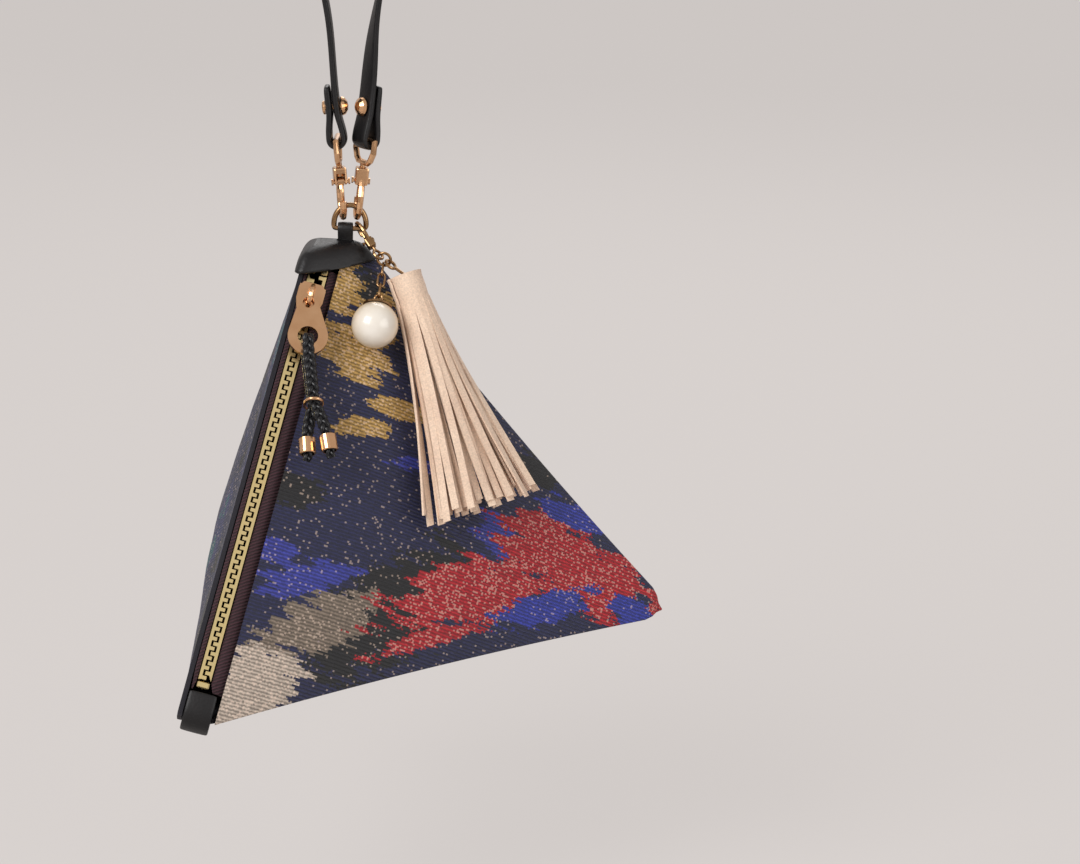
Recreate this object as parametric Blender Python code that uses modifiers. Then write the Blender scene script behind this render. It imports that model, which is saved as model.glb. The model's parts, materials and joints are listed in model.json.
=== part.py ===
"""A tetrahedral brocade pouch on a wrist strap, with a zip, two snap hooks and a charm.

Metres, +Z up. The origin is the inside of the strap loop's top, where a hand or a peg carries it.
"""

import math

import bmesh
import bpy
from mathutils import Matrix, Quaternion, Vector

MM = 0.001
GAP = 0.3 * MM  # clearance between pieces that touch

# Pouch
EDGE = 175 * MM  # length of each edge of the tetrahedron, before its corners are blunted
TILT = math.radians(4.6)  # lean that brings the pouch's weight under its ring
WALL = 1.4 * MM
BULGE = 5.0 * MM  # how far the middle of each face stands out
PINCH = 2.5 * MM  # how far the middle of each edge is drawn in
TIP_PULL = 5.0 * MM  # how far each lower corner is drawn in
FLAT_BESIDE_ZIP = 48 * MM  # the faces stay flat beside the zip, then rise to their full bulge
EDGE_ROUND = 2.4 * MM
FACE_STEPS = 11
TOP_CUT = 20.0 * MM  # distance from the virtual apex down to the open top of the shell
RING_ABOVE_RIM = 7.6 * MM  # the D-ring's bar above the height of the shell's open top
APEX_FROM_RING = Vector((-8.5 * MM, 0.0, TOP_CUT - RING_ABOVE_RIM))

# Zip, in its own frame: X across, Y up along the zip, Z out of the pouch
ZIP_WALL = 5.3 * MM  # teeth centre to the outside of the left face
ZIP_RIGHT = 6.3 * MM  # teeth centre to the fabric's edge on the front face
ZIP_START = 26 * MM  # from the apex, along the edge
ZIP_SHORT = 20 * MM  # the zip ends this far before the left corner
ZIP_END = EDGE - ZIP_SHORT
TOOTH_PITCH = 3.0 * MM
TOOTH_WIDE = 1.1 * MM
TOOTH_REACH = 0.35 * MM  # how far a tooth passes the centre line
ROW_HALF = 1.9 * MM
BEAD_WIDE = 0.9 * MM
ROW_THICK = 1.7 * MM
TAPE_THICK = 0.6 * MM
SPREAD_LEFT = 0.5 * MM  # how far the left row stands aside above the slider
SPREAD_RIGHT = 1.35 * MM
WEDGE_LEFT = 0.2 * MM  # the slider's wedge between the parted rows
WEDGE_RIGHT = 0.7 * MM
SLIDER_AT = 33.5 * MM
SLIDER_LONG = 8.5 * MM
SLIDER_HALF = 4.1 * MM
SLIDER_UNDER_HALF = 2.5 * MM
PLATE_THICK = 0.9 * MM
TAB_LONG = 15 * MM
TAB_HALF = 4.2 * MM

# Strap
STRAP_WIDE = 7.5 * MM
STRAP_THICK = 2.0 * MM
RING_Z = -180 * MM  # height of the D-ring's straight bar
BAR_ABOVE_RING = 27.8 * MM  # hook eye's bar above the D-ring's bar
EYE_LEFT_X = -4.0 * MM
EYE_RIGHT_X = 4.8 * MM
RIGHT_TWIST = math.radians(35)
STUD_ABOVE_BAR = 9.6 * MM
FOLD_PAST_STUD = 6.6 * MM  # the folded end's length past its stud
LOOP_HALF = 21.5 * MM  # half the width of the strap's open loop
STUD_RADIUS = 2.9 * MM
STUD_POST = 0.9 * MM

# D-ring
RING_WIRE = 0.9 * MM
RING_HALF = 4.9 * MM
RING_SIDE = 1.6 * MM  # straight part of each side
RING_RISE = 5.7 * MM

# Braided pull
CORD = 2.0 * MM  # radius of each braided leg


def shade(hex_code):
    """A colour in linear values, from its six-digit sRGB code."""
    parts = [int(hex_code[i : i + 2], 16) / 255 for i in (0, 2, 4)]
    return [c / 12.92 if c <= 0.04045 else ((c + 0.055) / 1.055) ** 2.4 for c in parts] + [1]


def material(name, hex_code, roughness, metallic=0.0):
    made = bpy.data.materials.new(name)
    made.use_nodes = True
    bsdf = made.node_tree.nodes["Principled BSDF"]
    bsdf.inputs["Base Color"].default_value = shade(hex_code)
    bsdf.inputs["Roughness"].default_value = roughness
    bsdf.inputs["Metallic"].default_value = metallic
    made.diffuse_color = shade(hex_code)
    return made


for old in list(bpy.data.objects):
    bpy.data.objects.remove(old, do_unlink=True)

PARTS = bpy.data.collections.new("triangular_pouch")
CUTTERS = bpy.data.collections.new("cutters")
bpy.context.scene.collection.children.link(PARTS)
bpy.context.scene.collection.children.link(CUTTERS)

LEATHER = material("black leather", "15161A", 0.45)
BROCADE = material("brocade", "23264A", 0.6)
TAPE = material("zip tape", "3B2225", 0.8)
BRASS = material("pale brass", "D8C38A", 0.3, 1.0)
GOLD = material("rose gold", "C99A6B", 0.22, 1.0)
DARK_GOLD = material("antique gold", "8A6A45", 0.3, 1.0)
SUEDE = material("peach suede", "E3C9AE", 0.9)
PEARL = material("pearl", "EFE7D6", 0.2)


def frame(name, matrix, parent=None):
    """An empty that carries the pieces of one moving part, with its origin on their joint."""
    empty = bpy.data.objects.new(name, None)
    PARTS.objects.link(empty)
    empty.empty_display_size = 0.005
    empty.parent = parent
    empty.matrix_basis = matrix
    return empty


def place(obj, look, parent=None, matrix=None, smooth=True):
    """Puts a new object into the part, with its material and its frame."""
    PARTS.objects.link(obj)
    obj.parent = parent
    if matrix is not None:
        obj.matrix_basis = matrix
    if obj.type == "MESH":
        obj.data.materials.append(look)
        if smooth:
            obj.data.shade_smooth()
            obj.data.set_sharp_from_angle(angle=math.radians(35))
    else:
        obj.data.materials.append(look)
    return obj


def axes(x, y, z, origin=(0, 0, 0)):
    """The matrix of a frame from its three axes and its origin."""
    made = Matrix((x, y, z)).transposed().to_4x4()
    made.translation = Vector(origin)
    return made


def turned_to(direction, origin, up=(0, 1, 0)):
    """A frame whose Z axis points along direction, with its Y axis nearest to up."""
    z = Vector(direction).normalized()
    x = Vector(up).cross(z).normalized()
    return axes(x, z.cross(x), z, origin)


def smooth_path(points, steps):
    """Points read from a Catmull-Rom curve through the given points."""
    points = [Vector(p) for p in points]
    padded = [2 * points[0] - points[1], *points, 2 * points[-1] - points[-2]]
    path = []
    for i in range(1, len(padded) - 2):
        a, b, c, d = padded[i - 1 : i + 3]
        for k in range(steps):
            t = k / steps
            bend = (2 * a - 5 * b + 4 * c - d) * t**2 + (3 * b - a - 3 * c + d) * t**3
            path.append(0.5 * (2 * b + (c - a) * t + bend))
    return path + [points[-1]]


def arc(centre, radius, start, end, steps, across=(1, 0, 0), up=(0, 0, 1)):
    """Points on an arc, from one angle to another in degrees, in the plane of across and up."""
    points = []
    for i in range(steps + 1):
        angle = math.radians(start + (end - start) * i / steps)
        aside = math.cos(angle) * Vector(across) + math.sin(angle) * Vector(up)
        points.append(Vector(centre) + radius * aside)
    return points


def tube_curve(name, points, radius, cyclic=False, resolution=2, radii=None):
    """A round wire along the points, as a curve object that isn't linked yet."""
    data = bpy.data.curves.new(name, "CURVE")
    data.dimensions = "3D"
    data.bevel_depth = radius
    data.bevel_resolution = resolution
    data.use_fill_caps = not cyclic
    spline = data.splines.new("POLY")
    spline.points.add(len(points) - 1)
    for i, point in enumerate(points):
        spline.points[i].co = (*point, 1)
        spline.points[i].radius = radii[i] if radii else 1
    spline.use_cyclic_u = cyclic
    return bpy.data.objects.new(name, data)


def as_mesh(obj):
    """The object's evaluated form as a mesh with its caps welded. The object itself goes."""
    if not obj.users_collection:
        CUTTERS.objects.link(obj)
    bpy.context.view_layer.update()
    evaluated = obj.evaluated_get(bpy.context.evaluated_depsgraph_get())
    mesh = bpy.data.meshes.new_from_object(evaluated)
    work = bmesh.new()
    work.from_mesh(mesh)
    bmesh.ops.remove_doubles(work, verts=work.verts, dist=1e-6)
    bmesh.ops.recalc_face_normals(work, faces=work.faces)
    work.to_mesh(mesh)
    work.free()
    mesh.materials.clear()
    name = obj.name
    bpy.data.objects.remove(obj, do_unlink=True)
    mesh.name = name
    return mesh


def tube(name, points, radius, cyclic=False, resolution=2, radii=None):
    """A round wire along the points, as a mesh."""
    return as_mesh(tube_curve(name, points, radius, cyclic, resolution, radii))


def primitive(make, matrix=None, **sizes):
    """A mesh from one of bmesh's own shapes."""
    work = bmesh.new()
    make(work, **sizes)
    if matrix is not None:
        work.transform(matrix)
    mesh = bpy.data.meshes.new("shape")
    work.to_mesh(mesh)
    work.free()
    return mesh


def box(size, centre, rotation=None):
    """A box mesh of the given size round its centre."""
    matrix = Matrix.Translation(centre) @ (rotation or Matrix()) @ Matrix.Diagonal((*size, 1))
    return primitive(bmesh.ops.create_cube, matrix, size=1)


def rod(start, end, radius, sides=14):
    """A cylinder mesh between two points."""
    start, end = Vector(start), Vector(end)
    turn = (end - start).to_track_quat("Z", "Y").to_matrix().to_4x4()
    matrix = Matrix.Translation((start + end) / 2) @ turn
    return primitive(
        bmesh.ops.create_cone,
        matrix,
        cap_ends=True,
        segments=sides,
        radius1=radius,
        radius2=radius,
        depth=(end - start).length,
    )


def turned(name, profile, steps=20):
    """A solid of revolution about Z. The profile runs from the axis at the top to the axis below."""
    mesh = bpy.data.meshes.new(name)
    mesh.from_pydata([(r, 0, z) for r, z in profile], [(i, i + 1) for i in range(len(profile) - 1)], [])
    obj = bpy.data.objects.new(name, mesh)
    screw = obj.modifiers.new("turn", "SCREW")
    screw.steps = screw.render_steps = steps
    screw.use_merge_vertices = True
    screw.merge_threshold = 1e-6
    return as_mesh(obj)


def cutter(mesh, name, parent=None):
    """A helper body for Booleans, which isn't part of the object."""
    obj = bpy.data.objects.new(name, mesh)
    CUTTERS.objects.link(obj)
    obj.parent = parent
    obj.hide_render = True
    obj.display_type = "WIRE"
    return obj


def combine(obj, mesh, operation="UNION"):
    """Adds a Boolean of the object with a mesh in the same frame."""
    other = cutter(mesh, f"{obj.name}_{operation.lower()}_{len(obj.modifiers)}", obj.parent)
    other.matrix_basis = obj.matrix_basis
    step = obj.modifiers.new(operation.lower(), "BOOLEAN")
    step.object = other
    step.operation = operation
    return obj


def bevelled(obj, width, segments=1, angle=35):
    step = obj.modifiers.new("rounded edges", "BEVEL")
    step.width = width
    step.segments = segments
    step.limit_method = "ANGLE"
    step.angle_limit = math.radians(angle)
    return obj


def ribbon(name, path, across, wide, thick, edge=0.0):
    """A flat strip along the path: an open surface with its thickness and rounded edges."""
    mesh = bpy.data.meshes.new(name)
    points = []
    for point, side in zip(path, across):
        half = Vector(side).normalized() * wide / 2
        points += [Vector(point) - half, Vector(point) + half]
    faces = [(2 * i, 2 * i + 1, 2 * i + 3, 2 * i + 2) for i in range(len(path) - 1)]
    mesh.from_pydata(points, [], faces)
    obj = bpy.data.objects.new(name, mesh)
    body = obj.modifiers.new("thickness", "SOLIDIFY")
    body.thickness = thick
    body.offset = 0
    body.use_even_offset = True
    if edge:
        bevelled(obj, edge, 1, 50)
    return obj


def ease(t):
    """Goes from 0 to 1 with a soft start and end."""
    t = min(1.0, max(0.0, t))
    return t * t * (3 - 2 * t)


# The pouch's own frame: the virtual apex at its origin, the three faces' shared axis down -Z
RING = Vector((0, 0, RING_Z))
APEX = RING + APEX_FROM_RING
pouch = frame("pouch_frame", Matrix.Translation(APEX) @ Matrix.Rotation(-TILT, 4, "Y"))
DOWN = EDGE * math.sqrt(2 / 3)
ROUND_BASE = EDGE / math.sqrt(3)


def corner(turn):
    """A lower corner of the tetrahedron, from its turn about the axis in degrees."""
    angle = math.radians(turn)
    return Vector((ROUND_BASE * math.cos(angle), ROUND_BASE * math.sin(angle), -DOWN))


TOP = Vector((0, 0, 0))
LEFT, RIGHT, BACK = corner(-120), corner(0), corner(120)
CENTRE = (TOP + LEFT + RIGHT + BACK) / 4


def fabric_point(corners, share):
    """A point of the soft tetrahedron: faces bulge, edges are drawn in, corners are blunt."""
    a, b, c = share
    flat = sum((s * p for s, p in zip(share, corners)), Vector())
    outward = (sum(corners, Vector()) / 3 - CENTRE).normalized()
    rise = BULGE * 27 * a * b * c
    if TOP in corners and LEFT in corners:  # flat beside the zip
        rise *= ease((1 - share[corners.index(TOP)] - share[corners.index(LEFT)]) * EDGE / FLAT_BESIDE_ZIP)
    point = flat + outward * rise
    for i, j, k in ((0, 1, 2), (1, 2, 0), (2, 0, 1)):
        if TOP in (corners[i], corners[j]) and LEFT in (corners[i], corners[j]):
            continue
        inward = (CENTRE - (corners[i] + corners[j]) / 2).normalized()
        point += inward * PINCH * 4 * share[i] * share[j] * (1 - share[k]) ** 2
    for s, p in zip(share, corners):
        point += (CENTRE - p).normalized() * TIP_PULL * ease((s - 0.93) / 0.07)
    return point


def fabric_surface(name, cut):
    """The outside of the pouch as an open mesh, cut off at a distance below its apex."""
    work = bmesh.new()
    for corners in ((TOP, LEFT, RIGHT), (TOP, RIGHT, BACK), (TOP, BACK, LEFT), (LEFT, BACK, RIGHT)):
        grid = {}
        for i in range(FACE_STEPS + 1):
            for j in range(FACE_STEPS + 1 - i):
                share = (1 - (i + j) / FACE_STEPS, i / FACE_STEPS, j / FACE_STEPS)
                grid[i, j] = work.verts.new(fabric_point(corners, share))
        for i, j in grid:
            if (i + 1, j) in grid and (i, j + 1) in grid:
                work.faces.new((grid[i, j], grid[i + 1, j], grid[i, j + 1]))
            if (i + 1, j + 1) in grid:
                work.faces.new((grid[i + 1, j], grid[i + 1, j + 1], grid[i, j + 1]))
    bmesh.ops.remove_doubles(work, verts=work.verts, dist=1e-6)
    bmesh.ops.recalc_face_normals(work, faces=work.faces)
    bmesh.ops.bisect_plane(
        work,
        geom=[*work.verts, *work.edges, *work.faces],
        plane_co=(0, 0, -cut),
        plane_no=(0, 0, 1),
        clear_outer=True,
    )
    mesh = bpy.data.meshes.new(name)
    work.to_mesh(mesh)
    work.free()
    return mesh


# The zip's frame lies along the edge from the apex to the left corner, square to the left face
ALONG = (LEFT - TOP).normalized()
LEFT_NORMAL = ((TOP + LEFT + BACK) / 3 - CENTRE).normalized()
FRONT_NORMAL = ((TOP + LEFT + RIGHT) / 3 - CENTRE).normalized()
ACROSS = -LEFT_NORMAL
OUT = ACROSS.cross(-ALONG)
FRONT_SLOPE = math.tan(FRONT_NORMAL.angle(OUT))
# the fabric's outer faces meet above the teeth by this much
EDGE_ABOVE = FRONT_SLOPE * (ZIP_WALL + ZIP_RIGHT)
zip_frame = frame("zip_frame", axes(ACROSS, -ALONG, OUT, ACROSS * ZIP_WALL - OUT * EDGE_ABOVE), pouch)

shell = place(bpy.data.objects.new("pouch_shell", fabric_surface("pouch_shell", TOP_CUT)), BROCADE, pouch)
bevelled(shell, EDGE_ROUND, 2, 40)
wall = shell.modifiers.new("thickness", "SOLIDIFY")
wall.thickness = WALL
wall.offset = -1
slot_top = TOP_CUT - 2 * MM
slot_end = ZIP_END + TAB_LONG + 6 * MM
LEFT_WALL_IN = WALL - ZIP_WALL + 0.6 * MM
cuts = (
    ((-ZIP_WALL - 3 * MM, LEFT_WALL_IN), (-slot_end, -slot_top), (-TAPE_THICK, 14 * MM)),
    ((LEFT_WALL_IN - 0.2 * MM, ZIP_RIGHT), (-slot_end, -slot_top), (-2.6 * MM, 14 * MM)),
    ((-ZIP_WALL - 3 * MM, ZIP_RIGHT), (-slot_end - 20 * MM, -ZIP_END - 11.6 * MM), (-10 * MM, 14 * MM)),
)
for spans in cuts:
    size = [high - low for low, high in spans]
    slot = box(size, [(high + low) / 2 for low, high in spans])
    slot.transform(zip_frame.matrix_basis)
    combine(shell, slot, "DIFFERENCE")


def spread(y, side):
    """How far a row of teeth stands aside at this height: parted above the slider's wedge."""
    wedge = -(SLIDER_AT - SLIDER_LONG / 2 + 2.4 * MM)
    most = SPREAD_RIGHT if side > 0 else SPREAD_LEFT
    return most * ease((y - (wedge - 3.2 * MM)) / (3.2 * MM))


def teeth_row(name, side):
    """One row of teeth on its bead, a comb that is cut from one strip."""
    outline = []
    count = int((ZIP_END - ZIP_START) / TOOTH_PITCH)
    shift = 0.25 if side > 0 else 0.75
    for i in range(count):
        middle = -ZIP_START - (i + shift) * TOOTH_PITCH
        for edge, inner in ((1, False), (1, True), (-1, True), (-1, False)):
            y = middle + edge * TOOTH_WIDE / 2
            x = -TOOTH_REACH if inner else ROW_HALF - BEAD_WIDE
            outline.append((x + spread(middle, side), y))
    heights = [-ZIP_END, *(-ZIP_START - 12 * MM + i * 2 * MM for i in range(7))]
    outer = [(ROW_HALF + spread(y, side), y) for y in heights]
    points = [(side * x, y, 0) for x, y in outline + outer]
    work = bmesh.new()
    face = work.faces.new([work.verts.new(p) for p in points])
    lifted = bmesh.ops.extrude_face_region(work, geom=[face])
    verts = [v for v in lifted["geom"] if isinstance(v, bmesh.types.BMVert)]
    bmesh.ops.translate(work, verts=verts, vec=(0, 0, ROW_THICK))
    bmesh.ops.translate(work, verts=work.verts, vec=(0, 0, 0.6 * MM - ROW_THICK))
    bmesh.ops.triangulate(work, faces=[f for f in work.faces if len(f.verts) > 4])
    bmesh.ops.recalc_face_normals(work, faces=work.faces)
    mesh = bpy.data.meshes.new(name)
    work.to_mesh(mesh)
    work.free()
    return place(bpy.data.objects.new(name, mesh), BRASS, zip_frame, smooth=False)


def tape(name, side):
    """One zip tape: flat beside the teeth, then down under the fabric's edge."""
    under = WALL + GAP
    if side < 0:
        drop = [(ZIP_WALL - under - TAPE_THICK / 2, -TAPE_THICK / 2), (ZIP_WALL - under - TAPE_THICK / 2, -7 * MM)]
    else:
        low = -(under / math.cos(math.atan(FRONT_SLOPE))) - TAPE_THICK / 2
        drop = [
            (ZIP_RIGHT - 1.9 * MM, -TAPE_THICK / 2),
            (ZIP_RIGHT - 0.4 * MM, low),
            (ZIP_RIGHT + 4 * MM, low - 4.4 * MM * FRONT_SLOPE),
        ]
    stations = [-ZIP_START + 2.5 * MM, *(-ZIP_START - i * 2 * MM for i in range(7)), -ZIP_END - 3 * MM]
    rows = []
    for y in stations:
        first = ROW_HALF + GAP + spread(y, side)
        rows.append([(side * x, y, z) for x, z in [(first, -TAPE_THICK / 2), *drop]])
    mesh = bpy.data.meshes.new(name)
    wide = len(rows[0])
    faces = [
        (r * wide + c, r * wide + c + 1, (r + 1) * wide + c + 1, (r + 1) * wide + c)
        for r in range(len(rows) - 1)
        for c in range(wide - 1)
    ]
    mesh.from_pydata([p for row in rows for p in row], [], faces)
    obj = place(bpy.data.objects.new(name, mesh), TAPE, zip_frame)
    body = obj.modifiers.new("thickness", "SOLIDIFY")
    body.thickness = TAPE_THICK
    body.offset = 0
    body.use_even_offset = True
    return obj


for word, side in (("left", -1), ("right", 1)):
    teeth_row(f"zip_teeth_{word}", side)
    tape(f"zip_tape_{word}", side)
    stop_x = side * (ROW_HALF + spread(0, side) - 1.0 * MM)
    stop = bpy.data.objects.new(
        f"zip_top_stop_{word}", box((2.0 * MM, 1.8 * MM, ROW_THICK), (stop_x, -ZIP_START + 1.3 * MM, -0.25 * MM))
    )
    bevelled(place(stop, BRASS, zip_frame), 0.3 * MM)
bottom_stop = bpy.data.objects.new(
    "zip_bottom_stop", box((3.6 * MM, 2.0 * MM, ROW_THICK), (0, -ZIP_END - 1.4 * MM, -0.25 * MM))
)
bevelled(place(bottom_stop, BRASS, zip_frame), 0.3 * MM)

# Slider: a wide plate over the teeth, a narrow one under them, and the wedge that joins them
slider_frame = frame("slider_frame", Matrix.Translation((0, -SLIDER_AT, 0)), zip_frame)
TEETH_TOP = 0.6 * MM
PLATE_TOP = TEETH_TOP + GAP + PLATE_THICK
UNDER_TOP = 0.6 * MM - ROW_THICK - GAP


def slider_outline(half):
    """A slider plate's outline: wide shoulders at the wedge end, a narrower tail."""
    long = SLIDER_LONG / 2
    return [
        (-half * 0.8, -long), (half * 0.8, -long), (half, -long * 0.3), (half, long * 0.6),
        (half * 0.7, long), (-half * 0.7, long), (-half, long * 0.6), (-half, -long * 0.3),
    ]


def plate(outline, thick, base):
    """A flat plate from its outline, extruded upward from its base."""
    data = bpy.data.curves.new("outline", "CURVE")
    data.dimensions = "2D"
    data.fill_mode = "BOTH"
    data.extrude = thick / 2
    spline = data.splines.new("POLY")
    spline.points.add(len(outline) - 1)
    for point, (x, y) in zip(spline.points, outline):
        point.co = (x, y, 0, 1)
    spline.use_cyclic_u = True
    mesh = as_mesh(bpy.data.objects.new("outline", data))
    mesh.transform(Matrix.Translation((0, 0, base + thick / 2)))
    return mesh


slider = place(
    bpy.data.objects.new("zip_slider", plate(slider_outline(SLIDER_HALF), PLATE_THICK, TEETH_TOP + GAP)),
    GOLD,
    slider_frame,
)
combine(slider, plate(slider_outline(SLIDER_UNDER_HALF), PLATE_THICK, UNDER_TOP - PLATE_THICK))
wedge_size = (WEDGE_RIGHT - WEDGE_LEFT, 2.0 * MM, TEETH_TOP + GAP - UNDER_TOP + PLATE_THICK)
wedge_at = ((WEDGE_RIGHT + WEDGE_LEFT) / 2, SLIDER_LONG / 2 - 1.4 * MM, (TEETH_TOP + GAP + UNDER_TOP) / 2)
combine(slider, box(wedge_size, wedge_at))
for side in (-1, 1):
    flange = box(
        (0.5 * MM, SLIDER_LONG * 0.5, PLATE_TOP - 0.6 * MM),
        (side * (SLIDER_HALF - 0.35 * MM), 0.15 * SLIDER_LONG, PLATE_TOP / 2),
    )
    combine(slider, flange)
BRIDGE_WIRE = 0.8 * MM
BRIDGE_RADIUS = 3.0 * MM
BRIDGE_UP = PLATE_TOP + 0.8 * MM  # the pull's axis, in the middle of the bridge's arch
bridge_path = arc((0, 0, BRIDGE_UP), BRIDGE_RADIUS, 0, 180, 12, across=(0, 1, 0))
bridge_path = [Vector((0, BRIDGE_RADIUS, PLATE_TOP - 0.4 * MM)), *bridge_path]
bridge_path += [Vector((0, -BRIDGE_RADIUS, PLATE_TOP - 0.4 * MM))]
combine(slider, tube("bridge", bridge_path, BRIDGE_WIRE))

# Pull tab: a teardrop plate with an eye round the bridge and a large hole below
PULL_THICK = 1.2 * MM
PULL_LONG = 17.0 * MM
PULL_EYE = 1.8 * MM
PULL_HEAD = 2.9 * MM
PULL_AROUND = math.radians(22)  # where the tab's eye sits on the arch at rest
PULL_HOLE = 3.1 * MM
PULL_HOLE_DOWN = 11.0 * MM
PULL_WIDE = 6.1 * MM
PULL_LEAN = math.radians(13)
PULL_RISE = math.radians(9)
pull_hinge = frame("pull_hinge", Matrix.Translation((0, 0, BRIDGE_UP)), slider_frame)
eye_at = (0, -BRIDGE_RADIUS * math.cos(PULL_AROUND), BRIDGE_RADIUS * math.sin(PULL_AROUND))
pull_frame = frame(
    "pull_frame",
    Matrix.Translation(eye_at) @ Matrix.Rotation(PULL_LEAN, 4, "Z") @ Matrix.Rotation(-PULL_RISE, 4, "X"),
    pull_hinge,
)


def teardrop():
    """The pull tab's outline: a small round head and a wide round foot."""
    head, foot = PULL_HEAD, PULL_WIDE
    drop = -PULL_HOLE_DOWN
    tangent = math.degrees(math.asin((foot - head) / PULL_HOLE_DOWN))
    top = arc((0, 0, 0), head, tangent, 180 - tangent, 8, up=(0, 1, 0))
    low = arc((0, drop, 0), foot, 180 - tangent, 360 + tangent, 16, up=(0, 1, 0))
    return [(p.x, p.y) for p in top + low]


pull_tab = place(
    bpy.data.objects.new("zip_pull_tab", plate(teardrop(), PULL_THICK, -PULL_THICK / 2)), GOLD, pull_frame
)
combine(pull_tab, rod((0, 0, -2 * MM), (0, 0, 2 * MM), PULL_EYE, 16), "DIFFERENCE")
combine(
    pull_tab,
    rod((0, -PULL_HOLE_DOWN, -2 * MM), (0, -PULL_HOLE_DOWN, 2 * MM), PULL_HOLE, 24),
    "DIFFERENCE",
)
bevelled(pull_tab, 0.35 * MM)

# Braided cord: two legs from the hole's rim, one before the tab and one behind it
RIM = -PULL_HOLE_DOWN - (PULL_HOLE + PULL_WIDE) / 2  # middle of the metal below the hole
TURN = PULL_THICK / 2 + GAP + CORD
BIND_DOWN = 17.5 * MM  # binding ring below the rim
CAP_DOWN = 28 * MM
CAP_LONG = 5 * MM
LEG_PULL = math.tan(math.radians(7))  # the legs hang a little to the right of the tab


def leg(name, front):
    """One braided leg with the metal cap round its end."""
    side = 1 if front else -1
    sway = 1 if front else -1

    def at(down, across, out):
        return Vector((across + down * LEG_PULL, RIM - down, side * out))

    top = [
        Vector((0, RIM + 4.0 * MM, side * GAP / 2)),
        Vector((0, RIM + 3.95 * MM, side * 0.9 * MM)),
        Vector((0, RIM + 3.05 * MM, side * 2.4 * MM)),
    ]
    run = [
        at(0, 0, TURN),
        at(6 * MM, 0, TURN * 0.98),
        at(BIND_DOWN - 3 * MM, 0, CORD + GAP),
        at(BIND_DOWN, 0, 1.7 * MM + GAP / 2),
        at(BIND_DOWN + 3 * MM, sway * 1.0 * MM, CORD * 0.9 + GAP / 2),
        at(CAP_DOWN, sway * 2.9 * MM, CORD * 0.8),
        at(CAP_DOWN + CAP_LONG + 2 * MM, sway * 3.3 * MM, CORD * 0.8),
    ]
    points = smooth_path(top + run, 3)
    bind = at(BIND_DOWN, 0, 1.7 * MM).y
    radii = []
    for p in points:
        waist = 0.85 + 0.15 * ease(abs(p.y - bind) / (4 * MM))
        end = 1 - 0.2 * ease((at(CAP_DOWN - 2.5 * MM, 0, 0).y - p.y) / (2.5 * MM))
        radii.append(waist * end)
    cord = tube_curve(f"braid_{name}", points, CORD, resolution=2, radii=radii)
    place(cord, LEATHER, pull_frame)
    low, high = at(CAP_DOWN, sway * 2.9 * MM, CORD * 0.8), at(CAP_DOWN + CAP_LONG, sway * 3.15 * MM, CORD * 0.8)
    cap = place(bpy.data.objects.new(f"braid_cap_{name}", rod(low, high, 2.5 * MM, 20)), GOLD, pull_frame)
    bevelled(cap, 0.25 * MM)
    direction = (high - low).normalized()
    combine(cap, rod(low - direction * MM, high + direction * MM, CORD * 0.8 + GAP, 16), "DIFFERENCE")
    return at


leg_point = leg("front", True)
leg("back", False)
bind_at = leg_point(BIND_DOWN, 0, 0)
bind_half = (1.7 * MM + GAP + 0.65 * MM, 3.4 * MM + GAP / 2 + GAP + 0.7 * MM)
bind_path = []
for i in range(16):
    angle = 2 * math.pi * i / 16
    c, s = math.cos(angle), math.sin(angle)
    aside = (math.copysign(abs(c) ** 0.8, c), math.copysign(abs(s) ** 0.8, s))
    bind_path.append(bind_at + Vector((bind_half[0] * aside[0], 0, bind_half[1] * aside[1])))
place(bpy.data.objects.new("braid_ring", tube("braid_ring", bind_path, 0.55 * MM, True)), GOLD, pull_frame)

# Bottom tab: leather over the zip's lower end, turned down over the corner
tab_path = [
    Vector((0.8 * MM, y, z))
    for y, z in (
        (-ZIP_END - TAB_LONG * 0.24, 0.5 * MM),
        (-ZIP_END - TAB_LONG * 0.53, 0.4 * MM),
        (-ZIP_END - TAB_LONG * 0.77, -0.6 * MM),
        (-ZIP_END - TAB_LONG * 0.9, -3.2 * MM),
        (-ZIP_END - TAB_LONG * 0.95, -6.5 * MM),
    )
]
tab_path = smooth_path(tab_path, 2)
bottom_tab = ribbon("bottom_tab", tab_path, [(1, 0, 0)] * len(tab_path), 2 * TAB_HALF, 1.4 * MM, 0.4 * MM)
place(bottom_tab, LEATHER, zip_frame)

# Top patch: a leather cap that follows the shell round its cut-off apex, with a slit for the ring's tab
PATCH_THICK = 1.2 * MM
PATCH_TOP = TOP_CUT - 2.2 * MM  # from the virtual apex; its rounded shoulder clears the shell's rim
PATCH_END = 24.0 * MM
PATCH_ROUND = EDGE_ROUND + 1.3 * MM  # round the shell's own rounded edges


def patch_surface():
    """The shell's top as an open cap, closed above and set off the shell by half its thickness."""
    work = bmesh.new()
    work.from_mesh(fabric_surface("patch_form", PATCH_TOP))
    bmesh.ops.bisect_plane(
        work,
        geom=[*work.verts, *work.edges, *work.faces],
        plane_co=(0, 0, -PATCH_END),
        plane_no=(0, 0, 1),
        clear_inner=True,
    )
    rim = [e for e in work.edges if e.is_boundary and all(v.co.z > -PATCH_TOP - GAP for v in e.verts)]
    bmesh.ops.contextual_create(work, geom=rim)
    bmesh.ops.recalc_face_normals(work, faces=work.faces)
    work.normal_update()
    for vert, aside in [(v, v.normal * v.calc_shell_factor() * (GAP + PATCH_THICK / 2)) for v in work.verts]:
        vert.co += aside
    mesh = bpy.data.meshes.new("top_patch")
    work.to_mesh(mesh)
    work.free()
    return mesh


patch = place(bpy.data.objects.new("top_patch", patch_surface()), LEATHER, pouch)
bevelled(patch, PATCH_ROUND, 3, 40)
leather = patch.modifiers.new("thickness", "SOLIDIFY")
leather.thickness = PATCH_THICK
leather.offset = 0

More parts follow.
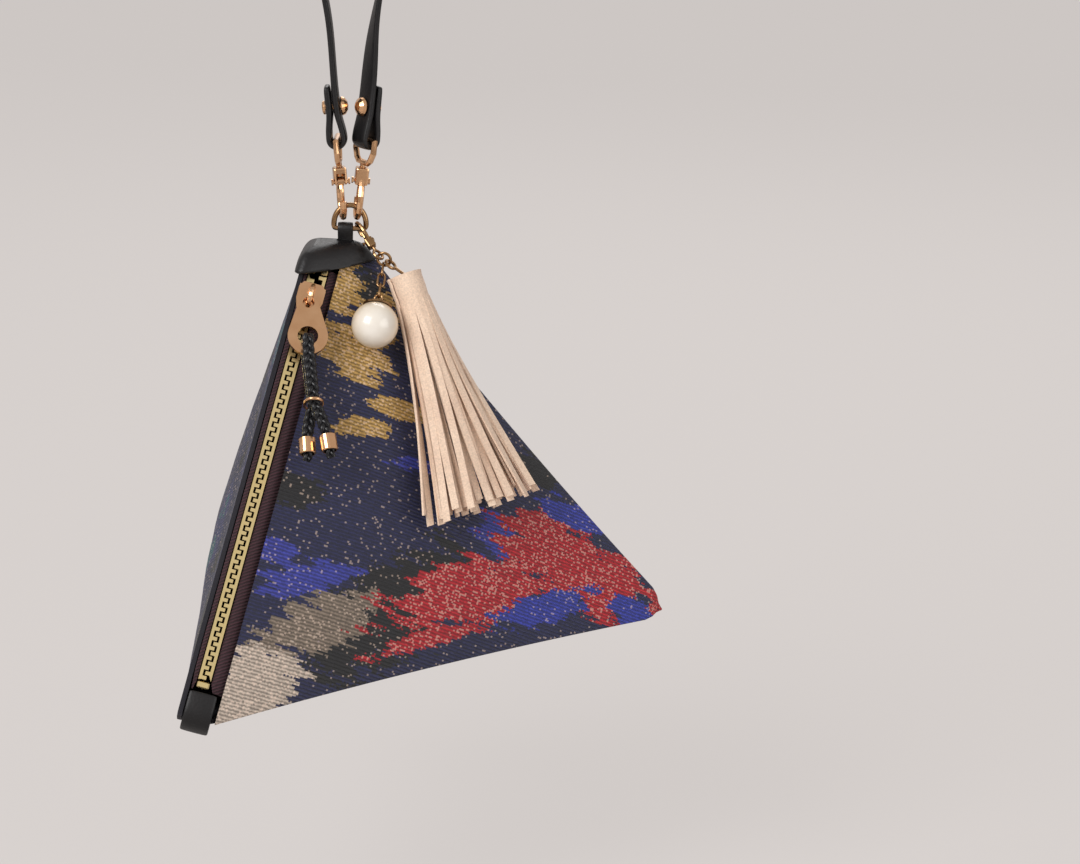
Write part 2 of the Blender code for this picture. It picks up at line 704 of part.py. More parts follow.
# Ring tab: leather folded over the D-ring's bar, its two ends sewn down inside the patch
RING_TAB_THICK = 0.9 * MM
RING_TAB_WIDE = 4.6 * MM
RING_TAB_X = -1.4 * MM
fold = RING_WIRE + GAP + RING_TAB_THICK / 2
legs_apart = RING_TAB_THICK / 2 + GAP / 2
tab_in = -7.0 * MM
fold_path = smooth_path(
    [
        Vector((RING_TAB_X, -legs_apart, tab_in)),
        Vector((RING_TAB_X, -legs_apart, -4.5 * MM)),
        Vector((RING_TAB_X, -legs_apart - 0.1 * MM, -2.9 * MM)),
        *arc((RING_TAB_X, 0, 0), fold, 200, -20, 8, across=(0, 1, 0)),
        Vector((RING_TAB_X, legs_apart + 0.1 * MM, -2.9 * MM)),
        Vector((RING_TAB_X, legs_apart, -4.5 * MM)),
        Vector((RING_TAB_X, legs_apart, tab_in)),
    ],
    1,
)
ring_frame = frame("ring_frame", Matrix.Translation(RING))
ring_tab = ribbon("ring_tab", fold_path, [(1, 0, 0)] * len(fold_path), RING_TAB_WIDE, RING_TAB_THICK, 0.3 * MM)
place(ring_tab, LEATHER, ring_frame)
slit = box(
    (RING_TAB_WIDE + 2 * GAP, 2 * (legs_apart + RING_TAB_THICK / 2 + GAP), 20 * MM),
    RING + Vector((RING_TAB_X, 0, -8 * MM)),
)
slit.transform((Matrix.Translation(APEX) @ Matrix.Rotation(-TILT, 4, "Y")).inverted())
combine(patch, slit, "DIFFERENCE")

# D-ring
ring_points = [Vector((-RING_HALF + 0.8 * MM, 0, 0)), Vector((RING_HALF - 0.8 * MM, 0, 0))]
ring_points += [Vector((RING_HALF - 0.2 * MM, 0, 0.25 * MM)), Vector((RING_HALF, 0, 0.9 * MM))]
for i in range(17):
    angle = math.pi * i / 16
    ring_points.append(Vector((RING_HALF * math.cos(angle), 0, RING_SIDE + RING_RISE * math.sin(angle))))
ring_points += [Vector((-RING_HALF, 0, 0.9 * MM)), Vector((-RING_HALF + 0.2 * MM, 0, 0.25 * MM))]
place(bpy.data.objects.new("d_ring", tube("d_ring", ring_points, RING_WIRE, True, 3)), DARK_GOLD, ring_frame)


class Hook:
    """Sizes of a snap hook. Heights run down from the eye's bar; scale sets the whole hook."""

    def __init__(self, scale):
        s = scale * MM
        self.block_top = -8.8 * s
        self.block_low = -14.2 * s
        self.block_half = (2.2 * s, 2.0 * s)
        self.slot_half = 1.3 * s
        self.slot_top = -10.6 * s
        self.post = 0.9 * s
        self.bore = 1.1 * s + 0.05 * MM
        self.head = 1.2 * s
        self.head_low = -11.6 * s
        self.pin = 0.6 * s
        self.pin_at = Vector((1.1 * s, 0, -13.2 * s))
        self.wire = 1.05 * s
        self.gate_wire = 0.75 * s
        self.loop = [
            Vector((x * s, 0, z * s))
            for x, z in ((-1.2, -12.6), (-2.7, -14.6), (-3.8, -17.2), (-3.7, -20.6), (-2.3, -23.3), (0, -24.3),
                         (2.3, -23.3), (3.7, -20.8), (3.9, -18.9))
        ]
        self.gate_tip = Vector((1.55 * s, 0, -19.4 * s))
        self.s = s


def snap_hook(name, size, carrier, look):
    """A hook's body, sprung gate and pin, in the frame of its swivel axis. The loop hangs down -Z."""
    s = size.s
    body = place(
        bpy.data.objects.new(
            f"{name}_body",
            box(
                (2 * size.block_half[0], 2 * size.block_half[1], size.block_top - size.block_low),
                (0, 0, (size.block_top + size.block_low) / 2),
            ),
        ),
        look,
        carrier,
    )
    bevelled(body, 0.6 * s, 2)
    combine(body, tube("loop", smooth_path(size.loop, 2), size.wire))
    # a chamber for the swivel's head, and below it a slot for the gate's knuckle
    chamber = (-1.5 * s, size.head_low - 0.3 * s, size.slot_top)
    knuckle_slot = (-0.7 * s, size.block_low - s, size.head_low)
    for low_x, low_z, high_z in (chamber, knuckle_slot):
        middle = ((low_x + 4 * s) / 2, 0, (low_z + high_z) / 2)
        combine(body, box((4 * s - low_x, 2 * size.slot_half, high_z - low_z), middle), "DIFFERENCE")
    combine(body, rod((0, 0, size.block_top + s), (0, 0, size.slot_top - 0.5 * s), size.bore, 16), "DIFFERENCE")
    pin_half = Vector((0, size.block_half[1] + GAP + 0.25 * s, 0))
    hole = size.pin + 0.2 * MM
    combine(body, rod(size.pin_at - pin_half, size.pin_at + pin_half, hole, 12), "DIFFERENCE")
    gate_carrier = frame(f"{name}_gate_frame", Matrix.Translation(size.pin_at), carrier)
    tip = size.gate_tip - size.pin_at
    gate_path = smooth_path([Vector((0, 0, -0.6 * s)), tip * 0.5 + Vector((0.7 * s, 0, 0)), tip], 3)
    gate = place(bpy.data.objects.new(f"{name}_gate", tube("gate", gate_path, size.gate_wire)), look, gate_carrier)
    knuckle = Vector((0, 0.95 * s, 0))
    combine(gate, rod(-knuckle, knuckle, 1.25 * s, 14))
    combine(gate, rod(-2 * knuckle, 2 * knuckle, hole, 12), "DIFFERENCE")
    pin = place(bpy.data.objects.new(f"{name}_pin", rod(-pin_half, pin_half, size.pin, 12)), look, gate_carrier)
    head_from = size.block_half[1] + GAP
    for end in (-1, 1):
        combine(pin, rod((0, end * head_from, 0), (0, end * (head_from + 0.5 * s), 0), 1.0 * s, 12))
    return body


def swivel_post(eye, size):
    """Adds the post and its riveted head, which holds the eye in the hook's block."""
    combine(eye, rod((0, 0, -6.6 * size.s), (0, 0, size.head_low + 0.3 * size.s), size.post, 14))
    combine(eye, rod((0, 0, size.slot_top - 0.3 * size.s), (0, 0, size.head_low), size.head, 14))


def strap_eye(name, size, carrier, look):
    """The frame that the strap is folded round: a straight bar, two sides and the swivel's base."""
    half = STRAP_WIDE / 2 + GAP + 0.95 * MM
    foot = -7.2 * size.s
    points = [
        Vector((0, y, z))
        for y, z in ((-half, 0), (half, 0), (half, -3.6 * MM), (half * 0.75, foot * 0.86), (half * 0.5, foot),
                     (-half * 0.5, foot), (-half * 0.75, foot * 0.86), (-half, -3.6 * MM))
    ]
    eye = place(bpy.data.objects.new(f"{name}_eye", tube("eye", points, 0.95 * MM, True)), look, carrier)
    swivel_post(eye, size)
    return eye


HOOK = Hook(1.0)
CONTACT = -24.3 * MM + HOOK.wire + RING_WIRE + 0.25 * MM  # the ring's wire rests here, in the hook's frame
BAR_Z = RING_Z + BAR_ABOVE_RING
HOOKS = (
    ("hook_left", EYE_LEFT_X, -2.3 * MM, 0.0, math.radians(-80)),
    ("hook_right", EYE_RIGHT_X, 2.3 * MM, RIGHT_TWIST, math.radians(98)),
)
for name, bar_x, low_x, eye_turn, loop_turn in HOOKS:
    lean = math.atan2(low_x - bar_x, -CONTACT)
    hang = Matrix.Translation((bar_x, 0, BAR_Z)) @ Matrix.Rotation(-lean, 4, "Y")
    eye_frame = frame(f"{name}_eye_frame", hang @ Matrix.Rotation(eye_turn, 4, "Z"))
    strap_eye(name, HOOK, eye_frame, GOLD)
    body_frame = frame(f"{name}_body_frame", hang @ Matrix.Rotation(loop_turn, 4, "Z"))
    snap_hook(name, HOOK, body_frame, GOLD)

# Wrist strap: one leather strip, folded round each hook's bar and riveted
BEND = 0.95 * MM + GAP + STRAP_THICK / 2
LAYER = STRAP_THICK / 2 + GAP / 2
END_LEAN = math.tan(math.radians(7))


def strap_end(bar_x, outward, twist):
    """The folded end of the strap round a hook's bar, from its free end to its main leg."""
    rise = STUD_ABOVE_BAR
    past = rise + FOLD_PAST_STUD
    local = [(LAYER, past), (LAYER, rise + 2 * MM), (LAYER, rise - 2.5 * MM), (BEND * 0.9, 3.2 * MM)]
    local += [(p.x, p.z) for p in arc((0, 0, 0), BEND, 0, -180, 10)]
    local += [(-BEND * 0.9, 3.2 * MM), (-LAYER, rise - 2.5 * MM), (-LAYER, rise + 2 * MM), (-LAYER, past)]
    side = Vector((-math.sin(twist), math.cos(twist), 0))
    out = Vector((math.cos(twist), math.sin(twist), 0)) * outward
    points = []
    for u, z in local:
        leaned = u + max(0.0, z) * END_LEAN
        points.append(Vector((bar_x, 0, BAR_Z + z)) + out * leaned)
    return points, side, out


left_end, left_side, left_out = strap_end(EYE_LEFT_X, -1, 0.0)
right_end, right_side, right_out = strap_end(EYE_RIGHT_X, 1, RIGHT_TWIST)
loop = [
    Vector((x * LOOP_HALF, 0, z * BAR_Z))
    for x, z in ((-0.32, 0.742), (-0.675, 0.526), (-1, 0.315), (-0.953, 0.145), (-0.535, 0.033), (0, 0),
                 (0.535, 0.033), (0.953, 0.145), (1, 0.315), (0.698, 0.526), (0.363, 0.742))
]
loop[5].z = STRAP_THICK / 2
TWIST_LOW = BAR_Z + STUD_ABOVE_BAR + FOLD_PAST_STUD  # below this the right end keeps its full twist
TWIST_LONG = 35 * MM
strap_points = left_end + loop + right_end[::-1]
strap_path = smooth_path(left_end[3:][-1:] + loop + right_end[::-1][:1], 3)
strap_path = left_end[:-1] + strap_path + right_end[::-1][1:]
strap_across = []
for point in strap_path:
    low = ease((TWIST_LOW + TWIST_LONG - point.z) / TWIST_LONG)
    blend = low if point.x > (EYE_LEFT_X + EYE_RIGHT_X) / 2 else 0
    strap_across.append(left_side.lerp(right_side, blend))
strap = ribbon("wrist_strap", strap_path, strap_across, STRAP_WIDE, STRAP_THICK, 0.5 * MM)
place(strap, LEATHER)

for word, out, bar_x in (("left", left_out, EYE_LEFT_X), ("right", right_out, EYE_RIGHT_X)):
    height = STUD_ABOVE_BAR
    middle = Vector((bar_x, 0, BAR_Z + height)) + out * height * END_LEAN
    inner_face = -(LAYER + STRAP_THICK / 2 + GAP)
    outer_face = -inner_face
    dome = STUD_RADIUS
    profile = [(0, inner_face - 2.2 * MM), (dome * 0.5, inner_face - 1.95 * MM), (dome * 0.88, inner_face - 1.2 * MM),
               (dome, inner_face - 0.4 * MM), (dome * 0.95, inner_face), (STUD_POST, inner_face),
               (STUD_POST, outer_face), (2.1 * MM, outer_face), (2.1 * MM, outer_face + 0.5 * MM),
               (1.6 * MM, outer_face + 0.8 * MM), (0, outer_face + 0.8 * MM)]
    tilted = (out + Vector((0, 0, -END_LEAN))).normalized()
    stud_matrix = turned_to(tilted, middle)
    stud = place(bpy.data.objects.new(f"strap_stud_{word}", turned("stud", profile[::-1])), GOLD, None, stud_matrix)
    hole = rod((0, 0, -6 * MM), (0, 0, 6 * MM), STUD_POST + GAP, 14)
    hole.transform(stud_matrix)
    combine(strap, hole, "DIFFERENCE")

# Charm clasp: a small snap hook on the D-ring's bar, right of the leather tab
CLASP_DIR = Vector((0.55, -0.55, -0.63)).normalized()
CLASP_SCALE = 0.62
CLASP = Hook(CLASP_SCALE)
CLASP_ON = RING + Vector((3.0 * MM, 0, 0))
clasp_contact = -24.3 * CLASP_SCALE * MM + CLASP.wire + RING_WIRE + 0.35 * MM
clasp_hinge = frame("clasp_hinge", Matrix.Translation(CLASP_ON))
clasp_matrix = turned_to(CLASP_DIR, -CLASP_DIR * clasp_contact, up=(1, 0, 0))
clasp_frame = frame("clasp_frame", clasp_matrix, clasp_hinge)
snap_hook("charm_clasp", CLASP, clasp_frame, DARK_GOLD)
EYE_WIRE = 0.45 * MM
eye_radius = 1.7 * MM
eye_middle = -2.4 * MM
eye_ring = tube("eye", arc((0, 0, eye_middle), eye_radius, 0, 345, 15, across=(0.7, 0.715, 0)), EYE_WIRE, True)
clasp_eye = place(bpy.data.objects.new("charm_clasp_eye", eye_ring), DARK_GOLD, clasp_frame)
combine(clasp_eye, rod((0, 0, eye_middle - eye_radius), (0, 0, CLASP.head_low + 0.2 * MM), CLASP.post, 12))
combine(clasp_eye, rod((0, 0, CLASP.slot_top - 0.2 * MM), (0, 0, CLASP.head_low), CLASP.head, 12))

# Jump ring through the clasp's eye
JUMP = 2.1 * MM
JUMP_WIRE = 0.5 * MM
clasp_eye_at = Matrix.Translation(CLASP_ON) @ clasp_matrix @ Vector((0, 0, eye_middle))
jump_normal = Vector((0.2, 0.96, 0.2)).normalized()
jump_dir = Vector((0.8, 0, -0.6))
jump_dir = (jump_dir - jump_dir.dot(jump_normal) * jump_normal).normalized()
jump_at = clasp_eye_at + jump_dir * (JUMP + 0.15 * MM)
jump_frame = frame("jump_frame", turned_to(jump_normal, jump_at, up=-jump_dir))
jump = tube("jump_ring", arc((0, 0, 0), JUMP, 0, 340, 17, up=(0, 1, 0)), JUMP_WIRE, True)
place(bpy.data.objects.new("jump_ring", jump), DARK_GOLD, jump_frame)

# Tassel: one suede sheet, rolled into the head and cut into strips below it
TASSEL_DIR = Vector((0.345, -0.286, -0.894)).normalized()
TASSEL_LONG = 76 * MM
HEAD_LONG = 9 * MM
ROLL_IN = 1.5 * MM
ROLL_PITCH = 0.95 * MM
ROLL_TURNS = 4
SUEDE_THICK = 0.65 * MM
STRIP = 2.2 * MM
FAN_WIDE = 3.5  # how many times wider the fan is at its foot than the head
FAN_DEEP = 0.9
FACE_OUT = Matrix.Rotation(-TILT, 3, "Y") @ FRONT_NORMAL
LOOP_RADIUS = 1.7 * MM
LOOP_PLAY = 0.25 * MM
LOOP_WIRE = 0.5 * MM
loop_dir = Vector((0.8, 0, -0.6))
loop_dir = (loop_dir - loop_dir.dot(jump_normal) * jump_normal).normalized()
loop_middle = jump_at + loop_dir * (JUMP - JUMP_WIRE - LOOP_WIRE - LOOP_PLAY + LOOP_RADIUS)
HEAD_TOP = RING + Vector((17.0, -7.1, -12.6)) * MM
tassel_matrix = turned_to(-TASSEL_DIR, jump_at + loop_dir * JUMP, up=FACE_OUT)
tassel_frame = frame("tassel_frame", tassel_matrix)
into_tassel = tassel_matrix.inverted()


def tassel_sheet():
    """The rolled sheet as an open surface: a spiral in the head, strips that spread below it."""
    turns = []
    angle = 0.0
    while angle < 2 * math.pi * ROLL_TURNS:
        radius = ROLL_IN + ROLL_PITCH * angle / (2 * math.pi)
        turns.append((angle, radius))
        angle += STRIP / radius
    levels = [0, 4.5 * MM, HEAD_LONG]
    strip_levels = [0.06, 0.2, 0.42, 0.7, 1.0]
    work = bmesh.new()

    def on_sheet(angle, radius, down):
        share = max(0.0, (down - HEAD_LONG) / (TASSEL_LONG - HEAD_LONG))
        grow = ease(share * 0.5) + share * 0.5
        wide = 1 + (FAN_WIDE - 1) * grow
        deep = 1 + (FAN_DEEP - 1) * grow
        return Vector((radius * math.cos(angle) * wide, radius * math.sin(angle) * deep, -down))

    columns = []
    for angle, radius in turns:
        columns.append([work.verts.new(on_sheet(angle, radius, d)) for d in levels])
    for i in range(len(columns) - 1):
        for k in range(len(levels) - 1):
            work.faces.new((columns[i][k], columns[i + 1][k], columns[i + 1][k + 1], columns[i][k + 1]))
    for i in range(len(columns) - 1):
        (a0, r0), (a1, r1) = turns[i], turns[i + 1]
        previous = (columns[i][-1], columns[i + 1][-1])
        uneven = 0.5 + 0.5 * math.sin(i * 2.4)
        long = TASSEL_LONG - 5 * MM * uneven * uneven
        middle, across = (a0 + a1) / 2, (r0 + r1) / 2
        for step in strip_levels:
            down = HEAD_LONG + (long - HEAD_LONG) * step
            centre = on_sheet(middle, across, down)
            tangent = (on_sheet(a1, r1, down) - on_sheet(a0, r0, down)).normalized()
            half = tangent * (STRIP * 0.47 + 0.12 * MM * step)
            current = (work.verts.new(centre - half), work.verts.new(centre + half))
            work.faces.new((previous[0], previous[1], current[1], current[0]))
            previous = current
    bmesh.ops.recalc_face_normals(work, faces=work.faces)
    bmesh.ops.translate(work, verts=work.verts, vec=into_tassel @ HEAD_TOP)
    mesh = bpy.data.meshes.new("tassel")
    work.to_mesh(mesh)
    work.free()
    return mesh


tassel = place(bpy.data.objects.new("tassel", tassel_sheet()), SUEDE, tassel_frame, smooth=False)
suede = tassel.modifiers.new("thickness", "SOLIDIFY")
suede.thickness = SUEDE_THICK
suede.offset = 0

# Tassel loop: a wire eye round the jump ring, on a shank that goes down the middle of the roll
circle = arc(loop_middle, LOOP_RADIUS, 0, 340, 17, across=loop_dir, up=jump_normal)
loop_mesh = tube("tassel_loop", [into_tassel @ p for p in circle], LOOP_WIRE, True)
tassel_loop = place(bpy.data.objects.new("tassel_loop", loop_mesh), DARK_GOLD, tassel_frame)
shank = [loop_middle + loop_dir * LOOP_RADIUS, HEAD_TOP, HEAD_TOP + TASSEL_DIR * 6 * MM]
combine(tassel_loop, tube("shank", [into_tassel @ p for p in shank], LOOP_WIRE))

# Pearl on its short chain
LINK_WIRE = 0.4 * MM
LINK_WIDE = 1.05 * MM
PEARL_RADIUS = 7.1 * MM
PEARL_OFF_FACE = 8.75 * MM  # the pearl's centre from the front face's plane
PEARL_AT = RING + Vector((8.6, -18.7, -25.7)) * MM
PEARL_AT += FACE_OUT * (PEARL_OFF_FACE - (PEARL_AT - APEX).dot(FACE_OUT))
chain_aim = (PEARL_AT - jump_at).normalized()
ring_low = chain_aim + Vector((-0.15, 0, 0))
ring_low = jump_at + JUMP * (ring_low - ring_low.dot(jump_normal) * jump_normal).normalized()
chain_dir = (PEARL_AT - ring_low).normalized()
chain_top = ring_low - chain_dir * (JUMP_WIRE - 0.05 * MM)
pearl_frame = frame("pearl_frame", turned_to(-chain_dir, PEARL_AT, up=(0, 1, 0)))
pearl_obj = bpy.data.objects.new(
    "pearl", primitive(bmesh.ops.create_uvsphere, u_segments=20, v_segments=12, radius=PEARL_RADIUS)
)
place(pearl_obj, PEARL, pearl_frame)
combine(pearl_obj, rod((0, 0, PEARL_RADIUS * 0.5), (0, 0, PEARL_RADIUS * 1.2), 0.8 * MM, 12), "DIFFERENCE")
cap_inner = PEARL_RADIUS + GAP
cap_profile = []
for degrees in (0, 12, 24, 34):
    angle = math.radians(degrees)
    cap_profile.append(((cap_inner + 0.6 * MM) * math.sin(angle), (cap_inner + 0.6 * MM) * math.cos(angle)))
for degrees in (34, 24, 12, 0):
    angle = math.radians(degrees)
    cap_profile.append((cap_inner * math.sin(angle), cap_inner * math.cos(angle)))
pearl_cap = place(bpy.data.objects.new("pearl_cap", turned("cap", cap_profile, 16)), DARK_GOLD, pearl_frame)
combine(pearl_cap, rod((0, 0, PEARL_RADIUS * 0.6), (0, 0, PEARL_RADIUS + 0.6 * MM), 0.5 * MM, 10))
eye_circle = arc((0, 0, PEARL_RADIUS + 2.0 * MM), 1.15 * MM, 0, 330, 11)
cap_eye = tube("cap_eye", eye_circle, LINK_WIRE, True)
combine(pearl_cap, cap_eye)

link_start = chain_top
link_end = pearl_frame.matrix_basis @ Vector((0, 0, PEARL_RADIUS + 2.0 * MM + 0.75 * MM))
link_count = 3
span = (link_end - link_start).length
half_link = span / link_count / 2 + 2 * LINK_WIRE + 0.05 * MM
for i in range(link_count):
    middle = link_start.lerp(link_end, (i + 0.5) / link_count)
    straight = half_link - LINK_WIDE - LINK_WIRE
    oval = arc((0, 0, straight), LINK_WIDE, 0, 180, 6) + arc((0, 0, -straight), LINK_WIDE, 180, 360, 6)
    link_frame = turned_to(chain_dir, middle) @ Matrix.Rotation(math.radians(90 * ((i + 1) % 2)), 4, "Z")
    link = bpy.data.objects.new(f"chain_link_{i + 1}", tube("link", oval, LINK_WIRE, True))
    place(link, DARK_GOLD, None, link_frame)
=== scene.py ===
# %% [markdown]
# # A triangular brocade pouch on a wrist strap
# The pouch is a soft tetrahedron of jacquard with a zip along one edge. It hangs from a black
# leather loop by two snap hooks and a D-ring, with a suede tassel and a pearl beside it.
# The rigid metal pieces come ready from the CAD frame. The soft ones are made again here, because
# cloth, leather and suede need far finer forms than solids for collision do.

# %% Load the frame
import json
import math
import random

import bpy
from mathutils import Matrix, Vector, noise

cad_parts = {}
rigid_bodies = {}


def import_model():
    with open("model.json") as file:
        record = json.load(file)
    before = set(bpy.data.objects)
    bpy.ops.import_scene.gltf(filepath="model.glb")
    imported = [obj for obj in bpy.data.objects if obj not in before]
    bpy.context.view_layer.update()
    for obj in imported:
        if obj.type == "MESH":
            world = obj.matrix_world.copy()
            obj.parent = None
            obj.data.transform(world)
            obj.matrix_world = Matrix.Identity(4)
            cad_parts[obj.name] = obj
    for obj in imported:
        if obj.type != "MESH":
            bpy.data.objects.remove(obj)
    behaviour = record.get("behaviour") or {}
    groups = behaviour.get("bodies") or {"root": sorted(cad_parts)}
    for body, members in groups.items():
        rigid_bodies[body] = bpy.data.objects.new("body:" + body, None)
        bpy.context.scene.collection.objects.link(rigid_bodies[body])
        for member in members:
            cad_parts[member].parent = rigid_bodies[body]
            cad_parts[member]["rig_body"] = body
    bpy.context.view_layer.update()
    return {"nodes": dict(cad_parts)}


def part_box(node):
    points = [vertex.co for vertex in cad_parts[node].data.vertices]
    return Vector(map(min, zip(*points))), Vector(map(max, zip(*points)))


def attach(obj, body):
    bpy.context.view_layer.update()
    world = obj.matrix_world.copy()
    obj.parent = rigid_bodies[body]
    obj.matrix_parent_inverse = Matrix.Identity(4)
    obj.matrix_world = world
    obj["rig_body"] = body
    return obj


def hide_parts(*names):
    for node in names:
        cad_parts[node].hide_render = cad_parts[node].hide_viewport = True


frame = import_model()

MM = 0.001
LINING_SLOT = 1
nodes = frame["nodes"]
random.seed(7)

# %% [markdown]
# ## Camera
# The photograph is taken with a long lens from a little above. A long lens keeps the pouch's edges
# nearly parallel, so the camera stands a metre away and the focal length does the framing.

# %% Place the camera
FOCAL_LENGTH = 113.33
CAMERA_AT = (0.0569, -1.018, 0.0313)
lean, turn, roll = (math.radians(angle) for angle in (15.1, -0.12, 0.97))
aim = Vector((math.sin(-turn) * math.cos(lean), math.cos(turn) * math.cos(lean), -math.sin(lean)))
right = aim.cross(Vector((0, 0, 1))).normalized()
up = right.cross(aim)
right, up = right * math.cos(roll) + up * math.sin(roll), up * math.cos(roll) - right * math.sin(roll)
lens = bpy.data.cameras.new("camera")
lens.lens = FOCAL_LENGTH
lens.sensor_width = 36
lens.clip_start = 0.01
camera = bpy.data.objects.new("camera", lens)
bpy.context.scene.collection.objects.link(camera)
camera.matrix_world = Matrix((right, up, -aim)).transposed().to_4x4()
camera.location = CAMERA_AT
bpy.context.scene.camera = camera
bpy.context.scene.view_settings.view_transform = "Standard"
print("camera looks along", [round(v, 3) for v in aim])

# %% [markdown]
# ## One way to add a shader node
# Every material below is a small graph. One function adds a node with its settings and its inputs,
# and an input may be a plain value or another node's output. Colours are written as sRGB hex codes
# and turned to linear values in one place.


# %% Node and colour helpers
def colour(code):
    parts = [int(code[i : i + 2], 16) / 255 for i in (0, 2, 4)]
    return [c / 12.92 if c <= 0.04045 else ((c + 0.055) / 1.055) ** 2.4 for c in parts] + [1.0]


def add(tree, kind, inputs=None, **settings):
    made = tree.nodes.new("ShaderNode" + kind)
    for name, value in settings.items():
        setattr(made, name, value)
    for name, value in (inputs or {}).items():
        if isinstance(value, bpy.types.NodeSocket):
            tree.links.new(value, made.inputs[name])
        else:
            made.inputs[name].default_value = value
    return made


def finish_named(name, **values):
    made = bpy.data.materials.new(name)
    made.use_nodes = True
    shader = made.node_tree.nodes["Principled BSDF"]
    for key, value in values.items():
        shader.inputs[key.replace("_", " ")].default_value = value
    return made, made.node_tree, shader


def bump_from(tree, shader, height, distance, strength=1.0):
    made = add(tree, "Bump", {"Height": height, "Distance": distance, "Strength": strength})
    tree.links.new(made.outputs["Normal"], shader.inputs["Normal"])


print("helpers ready")

# %% [markdown]
# ## Light and floor
# One large soft lamp stands at the upper left in front, as a studio softbox does, and a pale world
# fills the shadows. The floor is a plain pale sheet below the hanging pouch. What the camera sees of
# it is mostly its own colour, so the background stays even without more light on the object.

# %% Lamps, world and floor
BACKDROP = "D9D3D0"
FLOOR_LEVEL = -0.40
LAMPS_AIM = Vector((0.02, 0, -0.2))
for name, place, size, watts in (
    ("key softbox", (-0.75, -0.85, 0.55), 0.7, 15.0),
    ("fill softbox", (0.9, -0.7, 0.1), 0.8, 4.0),
    ("back softbox", (0.2, 1.0, 0.5), 0.8, 5.0),
):
    lamp = bpy.data.lights.new(name, "AREA")
    lamp.size = size
    lamp.energy = watts
    stand = bpy.data.objects.new(name, lamp)
    bpy.context.scene.collection.objects.link(stand)
    stand.location = place
    stand.rotation_euler = (LAMPS_AIM - Vector(place)).to_track_quat("-Z", "Y").to_euler()
world = bpy.data.worlds.new("pale studio")
world.use_nodes = True
bpy.context.scene.world = world
backdrop = world.node_tree.nodes["Background"]
backdrop.inputs["Color"].default_value = colour(BACKDROP)
rays = add(world.node_tree, "LightPath")
seen = add(world.node_tree, "Math", {0: rays.outputs["Is Camera Ray"], 1: rays.outputs["Is Glossy Ray"]},
           operation="MAXIMUM")
seen = add(world.node_tree, "Math", {0: seen.outputs[0], 1: rays.outputs["Is Transmission Ray"]},
           operation="MAXIMUM")
level = add(world.node_tree, "MapRange", {"Value": seen.outputs[0], "To Min": 0.45, "To Max": 1.0})
world.node_tree.links.new(level.outputs[0], backdrop.inputs["Strength"])

bpy.ops.object.select_all(action="DESELECT")
bpy.ops.mesh.primitive_grid_add(x_subdivisions=2, y_subdivisions=2, size=12, location=(0, 0, FLOOR_LEVEL))
floor = bpy.context.object
floor.name = "floor"
painted, tree, shader = finish_named("painted studio floor", Roughness=0.9)
shader.inputs["Base Color"].default_value = colour(BACKDROP)
glow = add(tree, "Emission", {"Color": colour(BACKDROP), "Strength": 1.0})
rays = add(tree, "LightPath")
share = add(tree, "Math", {0: rays.outputs["Is Camera Ray"], 1: 0.8}, operation="MULTIPLY")
mixed = add(tree, "MixShader", {0: share.outputs[0], 1: shader.outputs[0], 2: glow.outputs[0]})
tree.links.new(mixed.outputs[0], tree.nodes["Material Output"].inputs["Surface"])
floor.data.materials.append(painted)
print("floor at", floor.location.z, "m")

# %% [markdown]
# ## Vegetable-tanned leather, dyed black
# The strap, the patch and the tabs are smooth-grained leather with a light polish. The eye sees
# small rounded cells about 0.7 mm wide, a soft gloss that breaks up along them, and slightly
# browner patches where the dye is thin.


# %% Leather
def leather_finish(name, base, light, roughness, grain):
    made, tree, shader = finish_named(name, IOR=1.45, Specular_IOR_Level=0.4)
    place = add(tree, "TexCoord").outputs["Object"]
    cells = add(tree, "TexVoronoi", {"Vector": place, "Scale": 1 / grain}, feature="SMOOTH_F1")
    patches = add(tree, "TexNoise", {"Vector": place, "Scale": 130.0, "Detail": 5.0})
    tint = add(tree, "Mix", {"Factor": patches.outputs["Fac"], "A": colour(base), "B": colour(light)},
               data_type="RGBA")
    tree.links.new(tint.outputs["Result"], shader.inputs["Base Color"])
    gloss = add(tree, "MapRange", {"Value": patches.outputs["Fac"], "To Min": roughness - 0.08,
                                   "To Max": roughness + 0.1})
    tree.links.new(gloss.outputs[0], shader.inputs["Roughness"])
    bump_from(tree, shader, cells.outputs["Distance"], 0.1 * MM, 0.5)
    return made


black_leather = leather_finish("vegetable-tanned leather black", "09090B", "161415", 0.42, 0.7 * MM)
cord_leather = leather_finish("waxed leather lace", "08080A", "16161A", 0.26, 0.9 * MM)
print(black_leather.name, cord_leather.name)

# %% [markdown]
# ## Plated zinc and brass
# The hooks are die-cast zinc with a rose gold plating, the ring and the charm's small parts have a
# darker antique plating, and the zip's teeth are stamped pale brass. Plating is a mirror with very
# fine scuffs, so the roughness is low and varies a little over a few millimetres.


# %% Metals
def metal_finish(name, base, worn, roughness):
    made, tree, shader = finish_named(name, Metallic=1.0)
    place = add(tree, "TexCoord").outputs["Object"]
    clouds = add(tree, "TexNoise", {"Vector": place, "Scale": 220.0, "Detail": 6.0})
    tint = add(tree, "Mix", {"Factor": clouds.outputs["Fac"], "A": colour(base), "B": colour(worn)},
               data_type="RGBA")
    tree.links.new(tint.outputs["Result"], shader.inputs["Base Color"])
    gloss = add(tree, "MapRange", {"Value": clouds.outputs["Fac"], "To Min": roughness * 0.6,
                                   "To Max": roughness * 1.4})
    tree.links.new(gloss.outputs[0], shader.inputs["Roughness"])
    scuffs = add(tree, "TexNoise", {"Vector": place, "Scale": 2500.0, "Detail": 2.0})
    bump_from(tree, shader, scuffs.outputs["Fac"], 0.01 * MM, 0.3)
    return made


